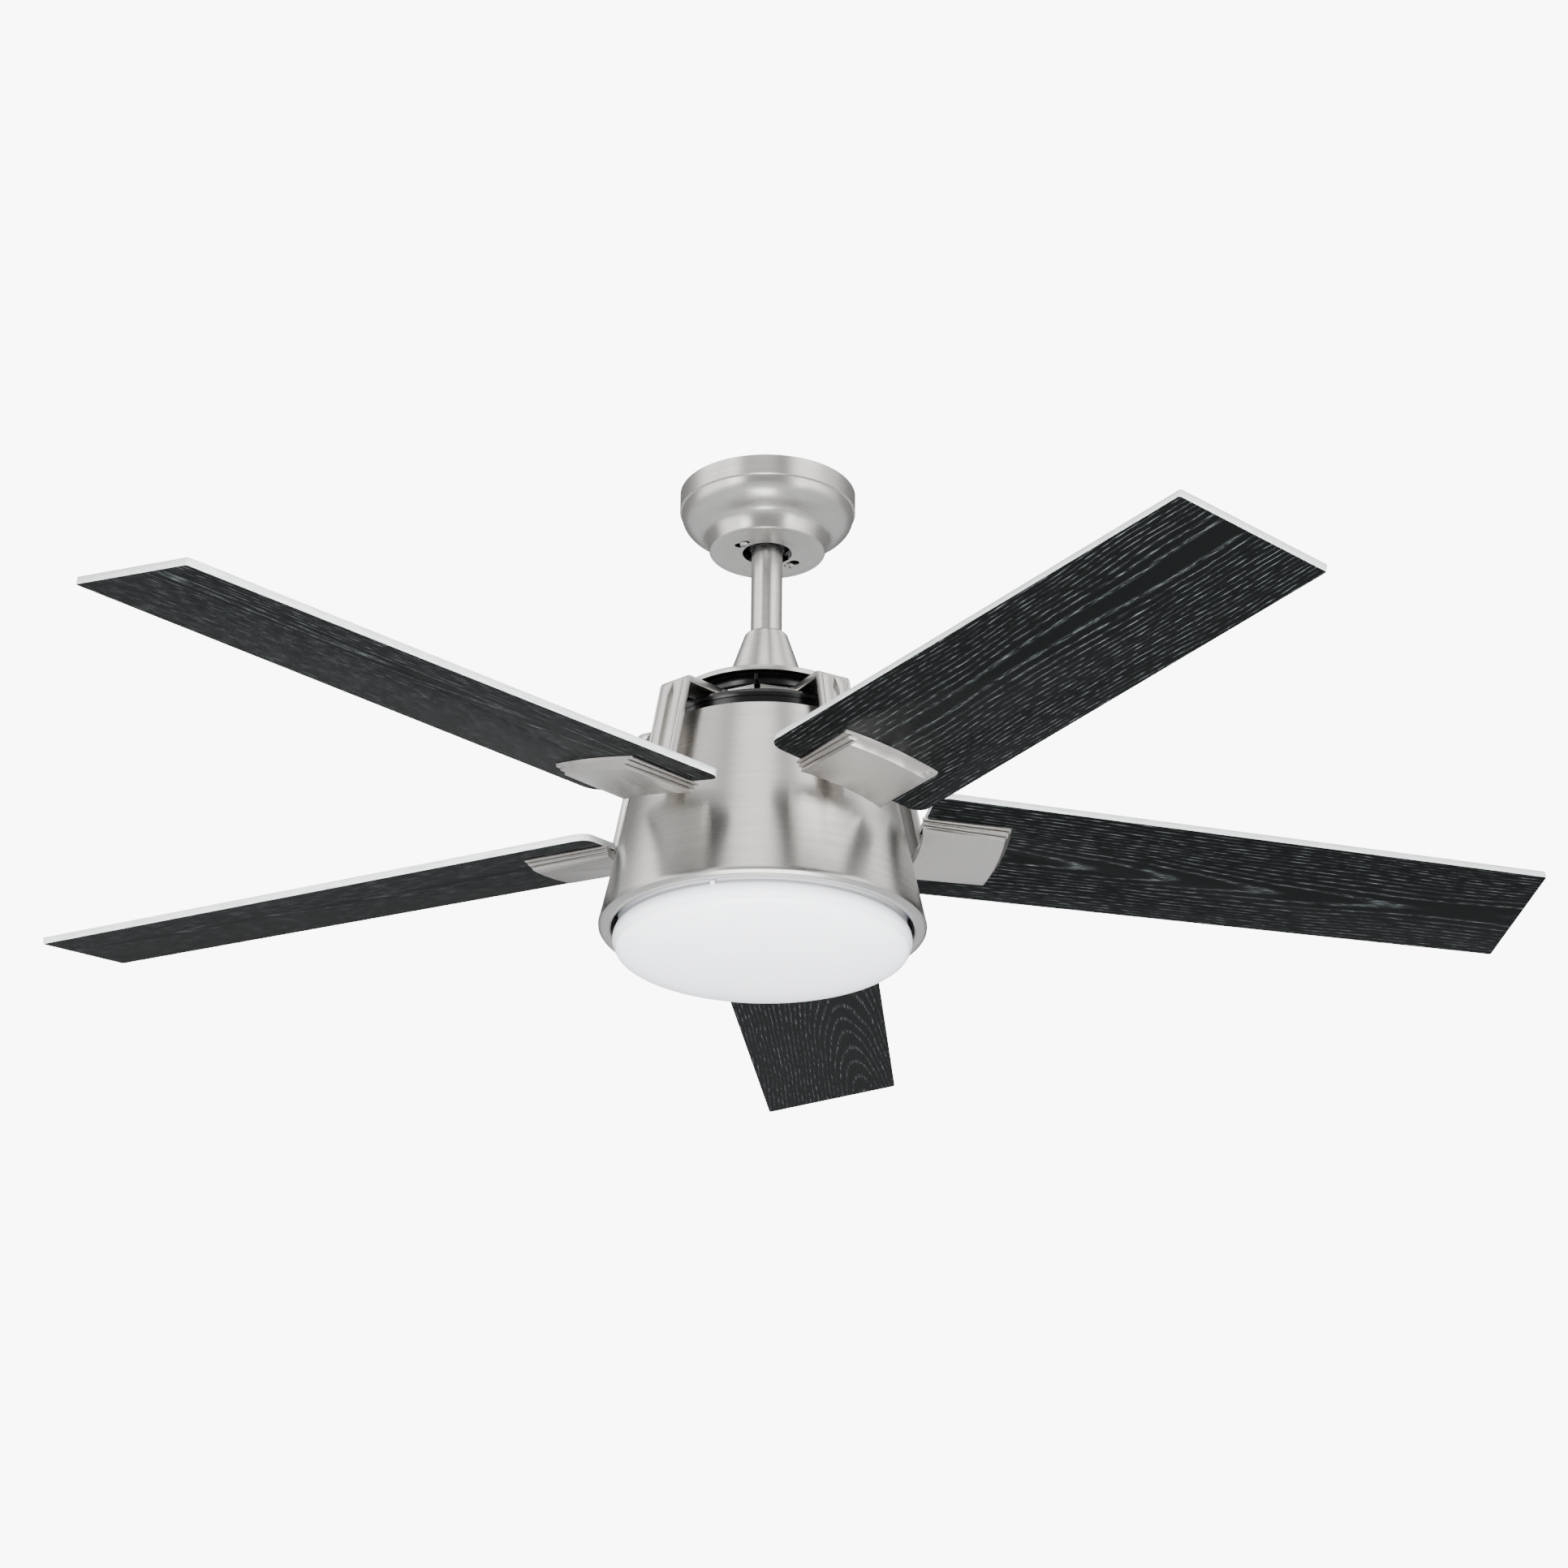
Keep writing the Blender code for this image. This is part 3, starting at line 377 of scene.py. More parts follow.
def oak_laminate():
    """Open-grained oak laminate, stained black: charcoal, with pale broken pore lines 3 to 5 mm
    apart that run along the board and close in arches where the board was cut flat."""
    heart, cut_depth, ring = 12 * MM, 22.2 * MM, 3.6 * MM
    bends = 5.2                     # how fast the depth of the cut swings, in radians a metre
    made, tree, shader = new_finish("black_oak_laminate", "#202324", 0.5)
    shader.inputs["Specular IOR Level"].default_value = 0.06
    place = add(tree, "ShaderNodeAttribute", attribute_name="board_place").outputs["Vector"]
    # The board wanders a few millimetres over a hand's breadth.
    slow = add(tree, "ShaderNodeVectorMath", {0: place, 1: (3.2, 14, 0)},
               operation="MULTIPLY").outputs["Vector"]
    wander = add(tree, "ShaderNodeTexNoise", {"Vector": slow, "Scale": 1.0, "Detail": 2.0,
                                              "Roughness": 0.45}).outputs["Color"]
    shift = add(tree, "ShaderNodeVectorMath", {0: wander, 1: (0.5, 0.5, 0.5)},
                operation="SUBTRACT").outputs["Vector"]
    shift = add(tree, "ShaderNodeVectorMath", {0: shift, 1: (0.16, 0.026, 0)},
                operation="MULTIPLY").outputs["Vector"]
    grown = add(tree, "ShaderNodeVectorMath", {0: place, 1: shift}, operation="ADD").outputs["Vector"]
    part = add(tree, "ShaderNodeSeparateXYZ", {"Vector": grown}).outputs
    # A ring's radius: across the board from its heart, and the depth of the cut, which changes along it.
    across = add(tree, "ShaderNodeMath", {0: part["Y"], 1: heart}, operation="SUBTRACT").outputs["Value"]
    wave = add(tree, "ShaderNodeMath", {0: part["X"], 1: bends}, operation="MULTIPLY").outputs["Value"]
    wave = add(tree, "ShaderNodeMath", {0: wave}, operation="SINE").outputs["Value"]
    swing = add(tree, "ShaderNodeSeparateXYZ", {"Vector": place}).outputs["Z"]
    cut = add(tree, "ShaderNodeMath", {0: wave, 1: swing}, operation="MULTIPLY").outputs["Value"]
    cut = add(tree, "ShaderNodeMath", {0: cut, 1: cut_depth}, operation="ADD").outputs["Value"]
    spot = add(tree, "ShaderNodeCombineXYZ", {"X": across, "Y": cut}).outputs["Vector"]
    radius = add(tree, "ShaderNodeVectorMath", {0: spot}, operation="LENGTH").outputs["Value"]
    rings = add(tree, "ShaderNodeMath", {0: radius, 1: 1 / ring}, operation="MULTIPLY").outputs["Value"]
    rings = add(tree, "ShaderNodeMath", {0: rings}, operation="FRACT").outputs["Value"]
    spring = add(tree, "ShaderNodeValToRGB", {"Fac": rings})
    stops(spring, (0.0, grey(30)), (0.50, grey(40)), (0.68, grey(255)), (0.82, grey(235)),
          (0.95, grey(40)), (1.0, grey(30)))
    # Pores: dashes some 18 mm long and half a millimetre wide.
    fine = add(tree, "ShaderNodeVectorMath", {0: place, 1: (56, 1600, 0)},
               operation="MULTIPLY").outputs["Vector"]
    dashes = add(tree, "ShaderNodeTexNoise", {"Vector": fine, "Scale": 1.0, "Detail": 2.0,
                                              "Roughness": 0.6}).outputs["Fac"]
    pores = add(tree, "ShaderNodeMapRange",
                {"Value": dashes, "From Min": 0.46, "From Max": 0.62}).outputs["Result"]
    lines = add(tree, "ShaderNodeMath", {0: spring.outputs["Color"], 1: pores},
                operation="MULTIPLY").outputs["Value"]
    tone = add(tree, "ShaderNodeValToRGB", {"Fac": lines})
    stops(tone, (0.0, "#050606"), (0.15, "#090a0a"), (0.6, "#262a2b"), (1.0, "#53585a"))
    tree.links.new(tone.outputs["Color"], shader.inputs["Base Color"])
    gloss = add(tree, "ShaderNodeMapRange", {"Value": lines, "To Min": 0.46, "To Max": 0.62})
    tree.links.new(gloss.outputs["Result"], shader.inputs["Roughness"])
    bump = add(tree, "ShaderNodeBump", {"Height": lines, "Strength": 0.25, "Distance": 0.15 * MM})
    tree.links.new(bump.outputs["Normal"], shader.inputs["Normal"])
    return made


def silver_laminate():
    """Silver-grey foil on the board's upper side and edges: nearly white, with faint grain."""
    made, tree, shader = new_finish("silver_foil_laminate", "#dfe1e2", 0.42)
    place = add(tree, "ShaderNodeAttribute", attribute_name="board_place").outputs["Vector"]
    long = add(tree, "ShaderNodeVectorMath", {0: place, 1: (60, 700, 700)},
               operation="MULTIPLY").outputs["Vector"]
    grain = add(tree, "ShaderNodeTexNoise", {"Vector": long, "Scale": 1.0, "Detail": 4.0}).outputs["Fac"]
    tone = add(tree, "ShaderNodeValToRGB", {"Fac": grain})
    stops(tone, (0.30, "#c3c6c8"), (0.50, "#dcdee0"), (0.70, "#eceeef"))
    tree.links.new(tone.outputs["Color"], shader.inputs["Base Color"])
    bump = add(tree, "ShaderNodeBump", {"Height": grain, "Strength": 0.12, "Distance": 0.1 * MM})
    tree.links.new(bump.outputs["Normal"], shader.inputs["Normal"])
    return made


def opal_acrylic():
    """Opal acrylic, moulded and flame polished: milk white, softly glossy, light sinks into it."""
    made = mottled("opal_acrylic", "#f5f7ff", 0.22, grain=18, spread=0.012, depth=0.01,
                   subsurface_weight=0.25, subsurface_scale=0.004)
    made.node_tree.nodes["Principled BSDF"].inputs["IOR"].default_value = 1.49
    return made


SPUN = spun_nickel()
CAST = cast_nickel()
OAK = oak_laminate()
SILVER = silver_laminate()
OPAL = opal_acrylic()
# Baked black enamel on the motor's castings: glossy, with slight orange peel.
ENAMEL = mottled("black_baked_enamel", "#0b0b0c", 0.22, grain=3, spread=0.06, depth=0.06)
# Black moulded nylon, polished where it rubs.
NYLON = mottled("black_moulded_nylon", "#08090a", 0.3, grain=1.2, spread=0.08, depth=0.04)
# Zinc-plated steel: cold bright grey with a fine spangle.
ZINC = mottled("zinc_plated_steel", "#b4b6b8", 0.28, 1.0, grain=0.8, spread=0.08, depth=0.05)
# Bright nickel on the canopy's screws, buffed.
BRIGHT = mottled("bright_nickel_screws", "#d9d6d0", 0.16, 1.0, grain=0.6, spread=0.05, depth=0.03)
# Lamination steel with its dull grey varnish.
LAMINATION = mottled("varnished_lamination_steel", "#6d6f72", 0.42, 1.0, grain=1.0, spread=0.12, depth=0.2)
# Enamelled copper wire seen as one wound mass.
COPPER = mottled("enamelled_copper_wire", "#a5542a", 0.32, 0.9, grain=0.7, spread=0.25, depth=0.5)
# Sintered ferrite: matt charcoal.
FERRITE = mottled("sintered_ferrite", "#2b2b2d", 0.7, grain=0.5, spread=0.15, depth=0.3)
# White powder coat on the light pan.
POWDER = mottled("white_powder_coat", "#e8e8e6", 0.45, grain=0.9, spread=0.02, depth=0.15)
# White solder mask on the LED board.
MASK = mottled("white_solder_mask", "#e6e7e2", 0.35, grain=1.5, spread=0.02, depth=0.05)
# White moulded ABS with a fine spark texture.
ABS_WHITE = mottled("white_moulded_abs", "#dcdcda", 0.45, grain=0.6, spread=0.03, depth=0.1)
# Black moulded ABS with the same texture.
ABS_BLACK = mottled("black_moulded_abs", "#141516", 0.5, grain=0.6, spread=0.1, depth=0.15)
# Woven glass sleeving over the leads.
SLEEVE = mottled("black_glass_sleeving", "#191919", 0.65, grain=0.8, spread=0.2, depth=0.4)


# ---------------------------------------------------------------- hanger

def phillips_screw(name, head_r, head_h, shank_r, shank_h):
    """A pan-head screw on the axis, head down, its seat at height 0 and its shank above."""
    flatness = 0.62                 # of the dome of the head
    dome = arc(0, -head_h * 0.3, head_r, -8, -62, 6)
    dome = [(r, max(z * flatness, -head_h)) for r, z in dome]
    screw = turned(name, [(shank_r, shank_h), (shank_r, 0), (head_r, 0), (head_r, -head_h * 0.25),
                          *dome, (0, -head_h)], sides=32)
    edit(True)
    pick(screw, lambda e: e.is_boundary, "EDGE")
    bpy.ops.mesh.edge_face_add()
    edit(False)
    reach, half, deep = head_r * 0.56, head_r * 0.11, head_h * 0.55
    cross = [slab("slot", (-a, -b, -head_h * 1.3), (a, b, -head_h + deep))
             for a, b in ((reach, half), (half, reach))]
    join_solid(screw, cross, "DIFFERENCE")
    smooth(screw)
    return screw


def canopy():
    """The spun ceiling cover: a level band, a bead, a bowl, a waisted neck and a flat floor."""
    band_low, corner = -18.0 * MM, 2.4 * MM
    band = [(CANOPY_R - 0.4 * MM, 0), (CANOPY_R, -0.6 * MM), (CANOPY_R, band_low + 0.6 * MM),
            (CANOPY_R - 0.5 * MM, band_low), (CANOPY_R - 1.5 * MM, band_low - 0.4 * MM)]
    bowl = [(50 * MM + 23.2 * MM * cos(radians(t)), -19.6 * MM - 18.4 * MM * sin(radians(t)))
            for t in range(0, 77, 7)]
    neck = [(54.6 * MM, -38.3 * MM), (52.6 * MM, -40.2 * MM), (51.2 * MM, -43.4 * MM),
            (50.1 * MM, -47.6 * MM), (49.4 * MM, -52.0 * MM)]
    floor = arc(46.9 * MM, CANOPY_LOW.z + corner, corner, -10, -90, 5)
    mouth = [(21.5 * MM, CANOPY_LOW.z), (20.9 * MM, CANOPY_LOW.z + 0.3 * MM)]
    cover = turned("canopy_shell", [*band, *bowl, *neck, *floor, *mouth], wall=1.0 * MM)
    low, high = CANOPY_LOW.z - 5 * MM, CANOPY_LOW.z + 5 * MM
    for side in (1, -1):
        x, slide = CANOPY_SCREW_R * side, 5.5 * MM
        wide = start(bpy.ops.mesh.primitive_cylinder_add, "keyhole", vertices=40, radius=4.2 * MM,
                     depth=high - low, location=(x, -slide * side, (low + high) / 2))
        settle(wide)
        narrow = slab("keyslot", (x - 2.5 * MM, -slide, low), (x + 2.5 * MM, slide, high))
        join_solid(cover, [wide, narrow], "DIFFERENCE")
    settle(cover, Matrix.Rotation(BRACKET_TURN, 4, "Z"))
    smooth(cover)
    fit(cover, "mount", ["canopy"], SPUN, slot="brushed_nickel")


def canopy_screws():
    """The two screws in the canopy's keyholes, set up into the bracket."""
    cross_turn = 0.5                # how far each cross is turned from the bracket's line, in radians
    for number, turn in ((1, BRACKET_TURN), (2, BRACKET_TURN + pi)):
        screw = phillips_screw(f"canopy_screw_pan_{number}", 3.7 * MM, 2.4 * MM, 1.8 * MM, 12 * MM)
        place = (CANOPY_SCREW_R * cos(turn), CANOPY_SCREW_R * sin(turn), CANOPY_LOW.z - 0.3 * MM)
        settle(screw, Matrix.Translation(place) @ Matrix.Rotation(turn + cross_turn, 4, "Z"))
        fit(screw, "mount", [f"canopy_screw_{number}"], BRIGHT)


def hanger_ball():
    """The nylon ball with the collar that shows round the rod in the canopy's mouth."""
    middle = (BALL_LOW.z + BALL_HIGH.z) / 2
    radius = BALL_HIGH.x
    reach = 53.0                    # degrees up and down to where the ball is cut flat
    skin = arc(0, middle, radius, reach, -reach, 26)
    bore = ROD_R + 0.4 * MM
    ball = turned("hanger_ball_skin", [(bore, skin[0][1]), *skin, (bore + 0.6 * MM, skin[-1][1] - 0.2 * MM),
                                       (bore, skin[-1][1])], closed=True, sides=ROUND)
    smooth(ball)
    fit(ball, "drop", ["hanger_ball"], NYLON)


def downrod():
    """Drawn tube with its cut ends just broken."""
    bore = ROD_R - 1.6 * MM
    edge = 0.3 * MM
    rod = turned("downrod_tube", [(bore, ROD_HIGH.z), (ROD_R - edge, ROD_HIGH.z), (ROD_R, ROD_HIGH.z - edge),
                                  (ROD_R, ROD_LOW.z + edge), (ROD_R - edge, ROD_LOW.z), (bore, ROD_LOW.z)],
                 closed=True, sides=ROUND)
    smooth(rod)
    fit(rod, "drop", ["downrod"], SPUN)


def coupling_cover():
    """The spun cone: a collar close to the rod, a rounded shoulder and a straight flare."""
    top, low = COVER_HIGH.z, COVER_LOW.z
    shoulder = arc(14.9 * MM, top - 2.9 * MM, 2.9 * MM, 88, 12, 7)
    collar = [(ROD_R + 0.4 * MM, top - 1.0 * MM), (ROD_R + 0.5 * MM, top - 0.1 * MM)]
    flare = [(COVER_HIGH.x - 0.3 * MM, low + 0.7 * MM), (COVER_HIGH.x, low)]
    cone = turned("coupling_cone", [*collar, *shoulder, *flare], wall=1.0 * MM, sides=ROUND)
    smooth(cone)
    fit(cone, "drop", ["coupling_cover"], SPUN)


# ---------------------------------------------------------------- motor

def top_cap():
    """The shallow dish over the arms, with a rolled edge; black enamel on its inside is painted shade for the
    dark space under it.
    """
    top, low, out = CAP_HIGH.z, CAP_LOW.z, CAP_HIGH.x
    roll, metal = 1.8 * MM, 1.2 * MM
    edge = [*arc(out - roll, top - roll, roll, 90, 0, 6), (out, low + 0.3 * MM), (out - 0.3 * MM, low)]
    cap = turned("motor_top_cap", [(21.5 * MM, top), *edge], wall=metal)
    smooth(cap)
    cap.data.materials.append(SPUN)
    cap.data.materials.append(ENAMEL)
    # Faces pointing down or inwards take black enamel: painted shade where the space under the cap is dark.
    for face in cap.data.polygons:
        inward = face.center.to_2d().dot(face.normal.to_2d()) < 0 and face.center.z < top - 1.1 * MM
        face.material_index = int(face.normal.z < -0.5 or inward)
    fit(cap, "rotor", ["top_cap"], SPUN, ENAMEL)


def rotor_casting():
    """The black casting under the cap: a drum over the arms' feet, a dished flange and ribs."""
    top = span("rotor_top_casting")[1].z
    disc = -205.6 * MM
    shaft_r = 11.3 * MM
    drum = [(63.4 * MM, top), (64 * MM, top - 0.6 * MM), (64 * MM, disc), (20 * MM, disc)]
    dish = [(20 * MM, -210.6 * MM), (21.8 * MM, -212.3 * MM), (56 * MM, -212.3 * MM), (60 * MM, -215.5 * MM),
            (80 * MM, -218.5 * MM), (85.5 * MM, -220 * MM), (88 * MM, -223 * MM), (88 * MM, -227 * MM)]
    under = [(84.5 * MM, -227 * MM), (83 * MM, -223.5 * MM), (56 * MM, -216.5 * MM), (shaft_r, -216.5 * MM)]
    profile = [*drum, *dish, *under, (shaft_r, top)]
    casting = turned("motor_top_casting", profile, closed=True)
    ribs = []
    for k in range(ARMS):
        turn = arm_turn(k) + pi / ARMS
        rib = slab("rib", (60 * MM, -1.5 * MM, disc + 0.4 * MM), (71 * MM, 1.5 * MM, top))
        settle(rib, Matrix.Rotation(turn, 4, "Z"))
        ribs.append(rib)
    join_solid(casting, ribs, "UNION")
    soften(casting, 0.5 * MM)
    smooth(casting)
    fit(casting, "rotor", ["rotor_top_casting"], ENAMEL)


def rotor_can():
    """The drawn can under the casting, with a boss for the lower bearing."""
    out, top = ROTOR_HIGH.x, ROTOR_HIGH.z
    shaft_r, inside_r, corner = 11.3 * MM, 84.5 * MM, 2.5 * MM
    outside = [(out, top - 0.4 * MM), (out, -288 * MM), *arc(out - corner, -288.5 * MM, corner, 0, -90, 5)]
    boss = [(20 * MM, -291 * MM), (20 * MM, -297 * MM), (shaft_r, -297 * MM), (shaft_r, -287.5 * MM)]
    inside = [(inside_r, -287.5 * MM), (inside_r, top), (out - 0.4 * MM, top)]
    wall = turned("motor_can", [*outside, *boss, *inside], closed=True)
    smooth(wall)
    fit(wall, "rotor", ["rotor_can"], ENAMEL)


# ---------------------------------------------------------------- arms

def arm_ribbon():
    """Foot, spoke and leg: one ribbon bent down outside the housing, then thickened."""
    spread, split = tan(pi / ARMS), 2.5 * MM / cos(pi / ARMS)
    foot_in, foot_out, spoke_out = 22 * MM, 53 * MM, 64 * MM
    bend = 5.5 * MM                 # how far before and after the corner the bend starts
    rows = [(foot_in, FOOT_TOP, foot_in * spread - split), (foot_out, FOOT_TOP, foot_out * spread - split),
            (59.5 * MM, FOOT_TOP - 0.3 * MM, 12.2 * MM), (spoke_out, FOOT_TOP - 0.5 * MM, 10.0 * MM)]
    before = Vector((LEG_TOP_R - spoke_out, LEG_TOP_Z - FOOT_TOP + 0.5 * MM)).normalized()
    after = Vector((sin(LEG_LEAN), -cos(LEG_LEAN)))
    corner = Vector((LEG_TOP_R, LEG_TOP_Z))
    into, away = corner - before * bend, corner + after * bend
    for i in range(7):
        t = i / 6
        point = into * (1 - t) ** 2 + corner * 2 * t * (1 - t) + away * t ** 2
        rows.append((point.x, point.y, LEG_HALF - 0.5 * MM * (1 - t)))
    rows.append((LEG_TOP_R + (LEG_TOP_Z - LEG_END_Z) * tan(LEG_LEAN), LEG_END_Z, LEG_HALF))
    (x0, z0, half0), *rest = rows
    ribbon = start(bpy.ops.mesh.primitive_plane_add, "arm_ribbon", size=2, location=(x0, 0, z0))
    ribbon.scale = (0.01 * MM, half0, 1)
    settle(ribbon)
    edit(True)
    pick(ribbon, lambda v: v.co.x > x0)
    half = half0
    for x, z, wide in rest:
        bpy.ops.mesh.extrude_region_move(TRANSFORM_OT_translate={"value": (x - x0, 0, z - z0)})
        bpy.ops.transform.resize(value=(1, wide / half, 1), center_override=(x, 0, z))
        x0, z0, half = x, z, wide
    bpy.ops.mesh.select_all(action="SELECT")
    bpy.ops.mesh.remove_doubles(threshold=0.05 * MM)
    bpy.ops.mesh.normals_make_consistent(inside=False)
    pick(ribbon, lambda f: f.normal.z < -0.1, "FACE")
    if any(f.select for f in bmesh.from_edit_mesh(ribbon.data).faces):
        bpy.ops.mesh.select_all(action="SELECT")
        bpy.ops.mesh.flip_normals()
    edit(False)
    finish_with(ribbon, "SOLIDIFY", thickness=ARM_METAL, offset=-1, use_even_offset=True)
    return ribbon


def leg_cutter(name, half, deep, top, point, middle=0.0):
    """A long wedge for a groove down the leg: its pointed end is up, top below the leg's corner."""
    length = 100 * MM
    tool = slab(name, (-length, middle - half, -deep), (-top - point, middle + half, 4 * MM))
    edit(True)
    pick(tool, lambda f: f.normal.x > 0.9, "FACE")
    bpy.ops.mesh.extrude_region_move(TRANSFORM_OT_translate={"value": (point, 0, 0)})
    bpy.ops.transform.resize(value=(1, 0.04, 1), center_override=(-top, middle, 0))
    edit(False)
    # The tool's X runs up the leg and its Z out of the leg's face.
    upright = Matrix(((0, 0, 1, 0), (0, -1, 0, 0), (1, 0, 0, 0), (0, 0, 0, 1)))
    settle(tool, Matrix.Translation((LEG_TOP_R, 0, LEG_TOP_Z)) @ Matrix.Rotation(-LEG_LEAN, 4, "Y") @ upright)
    return tool


def plate_layer(high, low, half_in, half_out):
    """One step of the blade plate: a tapered slab, hollowed by the housing's circle inside."""
    step = slab("plate_step", (PLATE_IN - 12 * MM, -half_in, low), (PLATE_OUT + 2 * MM, half_in, high))
    edit(True)
    pick(step, lambda v: v.co.x > PLATE_OUT)
    bpy.ops.transform.resize(value=(1, half_out / half_in, 1), center_override=(0, 0, 0))
    edit(False)
    hollow = start(bpy.ops.mesh.primitive_cylinder_add, "hollow", vertices=256, radius=PLATE_IN, depth=0.05,
                   location=(0, 0, (low + high) / 2))
    settle(hollow)
    return join_solid(step, [hollow], "DIFFERENCE")


def blade_plate():
    """Three steps under the blade, each narrower than the one above; the outer end is swept by
    a wide arc, and slopes in one smooth face."""
    sizes = ((42.5 * MM, 43.0 * MM), (40.3 * MM, 38.6 * MM), (38.1 * MM, 34.2 * MM))
    groove, recess = 0.7 * MM, 2.2 * MM
    steps = []
    last = len(sizes) - 1
    for level, (half_in, half_out) in enumerate(sizes):
        high = -0.3 * MM - PLATE_LAYER * level
        low = high - PLATE_LAYER + (0 if level == last else groove)
        if level:
            # A groove undercuts each step, and draws a dark line above the next.
            steps.append(plate_layer(high + groove, high - 0.2 * MM, half_in - recess, half_out - recess))
        steps.append(plate_layer(high, low, half_in, half_out))
    plate = join_solid(steps[0], steps[1:], "UNION")
    bulge, slope, tall = 4 * MM, 7 * MM, 10 * MM
    sweep = (sizes[0][1] ** 2 + bulge ** 2) / (2 * bulge)
    end = start(bpy.ops.mesh.primitive_cone_add, "sweep", vertices=256, radius1=sweep - slope, radius2=sweep,
                depth=tall, location=(PLATE_OUT - sweep, 0, -tall / 2))
    settle(end)
    join_solid(plate, [end], "INTERSECT")
    settle(plate, TILT)
    return plate


def blade_arms():
    """The five castings that run from the rotor, down outside the housing, to the blades."""
    arm = arm_ribbon()
    join_solid(arm, [leg_cutter("deep_groove", 3.2 * MM, 3.6 * MM, 4 * MM, 12 * MM)], "DIFFERENCE")
    for side in (-1, 1):
        line = leg_cutter("edge_line", 0.35 * MM, 0.8 * MM, -1 * MM, 1 * MM, side * 11.6 * MM)
        join_solid(arm, [line], "DIFFERENCE")
    join_solid(arm, [blade_plate()], "UNION")
    soften(arm, 0.45 * MM)
    smooth(arm, 35)
    mark(arm, "arm_place")
    names = [f"blade_arm_casting_{k + 1}" for k in range(ARMS)]
    for k, piece in enumerate(copies(arm, names, [arm_turn(k) for k in range(ARMS)])):
        fit(piece, "rotor", [f"blade_arm_{k + 1}"], CAST, slot="satin_nickel")


def mark(piece, name):
    """Stores each vertex's own place before the piece is turned, for its pattern to follow."""
    layer = piece.data.attributes.new(name, "FLOAT_VECTOR", "POINT")
    for value, vertex in zip(layer.data, piece.data.vertices):
        value.vector = vertex.co


# ---------------------------------------------------------------- blades

# Where each board was cut from the laminate, along it and across it, and how far the depth of
# the cut swings: much gives arches, little gives straight grain.
BOARD_CUTS = ((0.05, 0.042, 0.022), (0.71, 0.0, 0.008), (0.35, -0.02, 0.006),
              (1.118, 0.027, 0.0008), (0.90, 0.01, 0.010))


def blades():
    """Tapered boards, black oak below and silver above, notched round the leg."""
    board = slab("board", (BLADE_ROOT, -BLADE_HALF_ROOT, 0), (BLADE_TIP, BLADE_HALF_ROOT, BLADE_THICK))
    middle = (BLADE_ROOT + BLADE_TIP) / 2
    edit(True)
    pick(board, lambda v: v.co.x > middle)
    bpy.ops.transform.resize(value=(1, BLADE_HALF_TIP / BLADE_HALF_ROOT, 1), center_override=(0, 0, 0))
    for root, radius, segments in ((True, 13 * MM, 10), (False, 2 * MM, 4)):
        pick(board, lambda e: all((v.co.x < middle) == root for v in e.verts)
             and abs(e.verts[0].co.z - e.verts[1].co.z) > MM, "EDGE")
        bpy.ops.mesh.bevel(offset=radius, segments=segments, affect="EDGES")
    edit(False)
    notch_half, notch_end, through = 16.5 * MM, 134.5 * MM, 20 * MM
    notch = slab("notch", (100 * MM, -notch_half, -through), (notch_end, notch_half, through))
    edit(True)
    pick(notch, lambda e: all(v.co.x > 120 * MM for v in e.verts)
         and abs(e.verts[0].co.z - e.verts[1].co.z) > MM, "EDGE")
    bpy.ops.mesh.bevel(offset=3 * MM, segments=5, affect="EDGES")
    edit(False)
    join_solid(board, [notch], "DIFFERENCE")
    soften(board, 0.5 * MM)
    smooth(board, 40)
    board.data.materials.append(OAK)
    board.data.materials.append(SILVER)
    for face in board.data.polygons:
        face.material_index = 0 if face.normal.z < -0.9 else 1
    mark(board, "board_place")
    settle(board, TILT)
    names = [f"blade_board_{k + 1}" for k in range(ARMS)]
    for k, piece in enumerate(copies(board, names, [arm_turn(k) for k in range(ARMS)])):
        # Each board is cut from another stretch of the same laminate.
        for value in piece.data.attributes["board_place"].data:
            value.vector = Vector(value.vector) + Vector(BOARD_CUTS[k])
        fit(piece, "rotor", [f"blade_{k + 1}"], OAK, SILVER, slot="blade_laminate")


def blade_screws():
    """Pan-head screws on top of each blade, turned over from the canopy's."""
    for k in range(ARMS):
        for number, (x, y) in enumerate(BLADE_SCREWS, start=1):
            screw = phillips_screw(f"blade_{k + 1}_pan_screw_{number}", 4.2 * MM, 2.2 * MM, 2.0 * MM, 11 * MM)
            over = Matrix.Translation((x, y, BLADE_THICK + 0.3 * MM)) @ Matrix.Rotation(pi, 4, "X")
            cross = Matrix.Rotation(0.4 * number, 4, "Z")
            settle(screw, Matrix.Rotation(arm_turn(k), 4, "Z") @ TILT @ over @ cross)
            fit(screw, "rotor", [f"blade_{k + 1}_screw_{number}"], ZINC)


# ---------------------------------------------------------------- housing and light

def motor_housing():
    """The brushed drum with its rolled lip."""
    top, low = HOUSE_HIGH.z, HOUSE_LOW.z
    skirt_r, skirt_z = 133 * MM, -392.5 * MM
    rim = [(98.8 * MM, top - 0.2 * MM), (99.4 * MM, top), (100.1 * MM, top - 0.6 * MM)]
    lip = [(133.6 * MM, -394.5 * MM), (133.4 * MM, -396.4 * MM), (132.3 * MM, -398.0 * MM),
           (130.6 * MM, -399.2 * MM), (128.6 * MM, low), (126.0 * MM, low), (124.2 * MM, low + 0.5 * MM),
           (123.2 * MM, low + 1.4 * MM)]
    drum = turned("motor_drum", [*rim, (skirt_r, skirt_z), *lip], wall=1.2 * MM, sides=FINEST)
    smooth(drum, 25)
    fit(drum, "drop", ["motor_housing"], SPUN, slot="brushed_nickel")


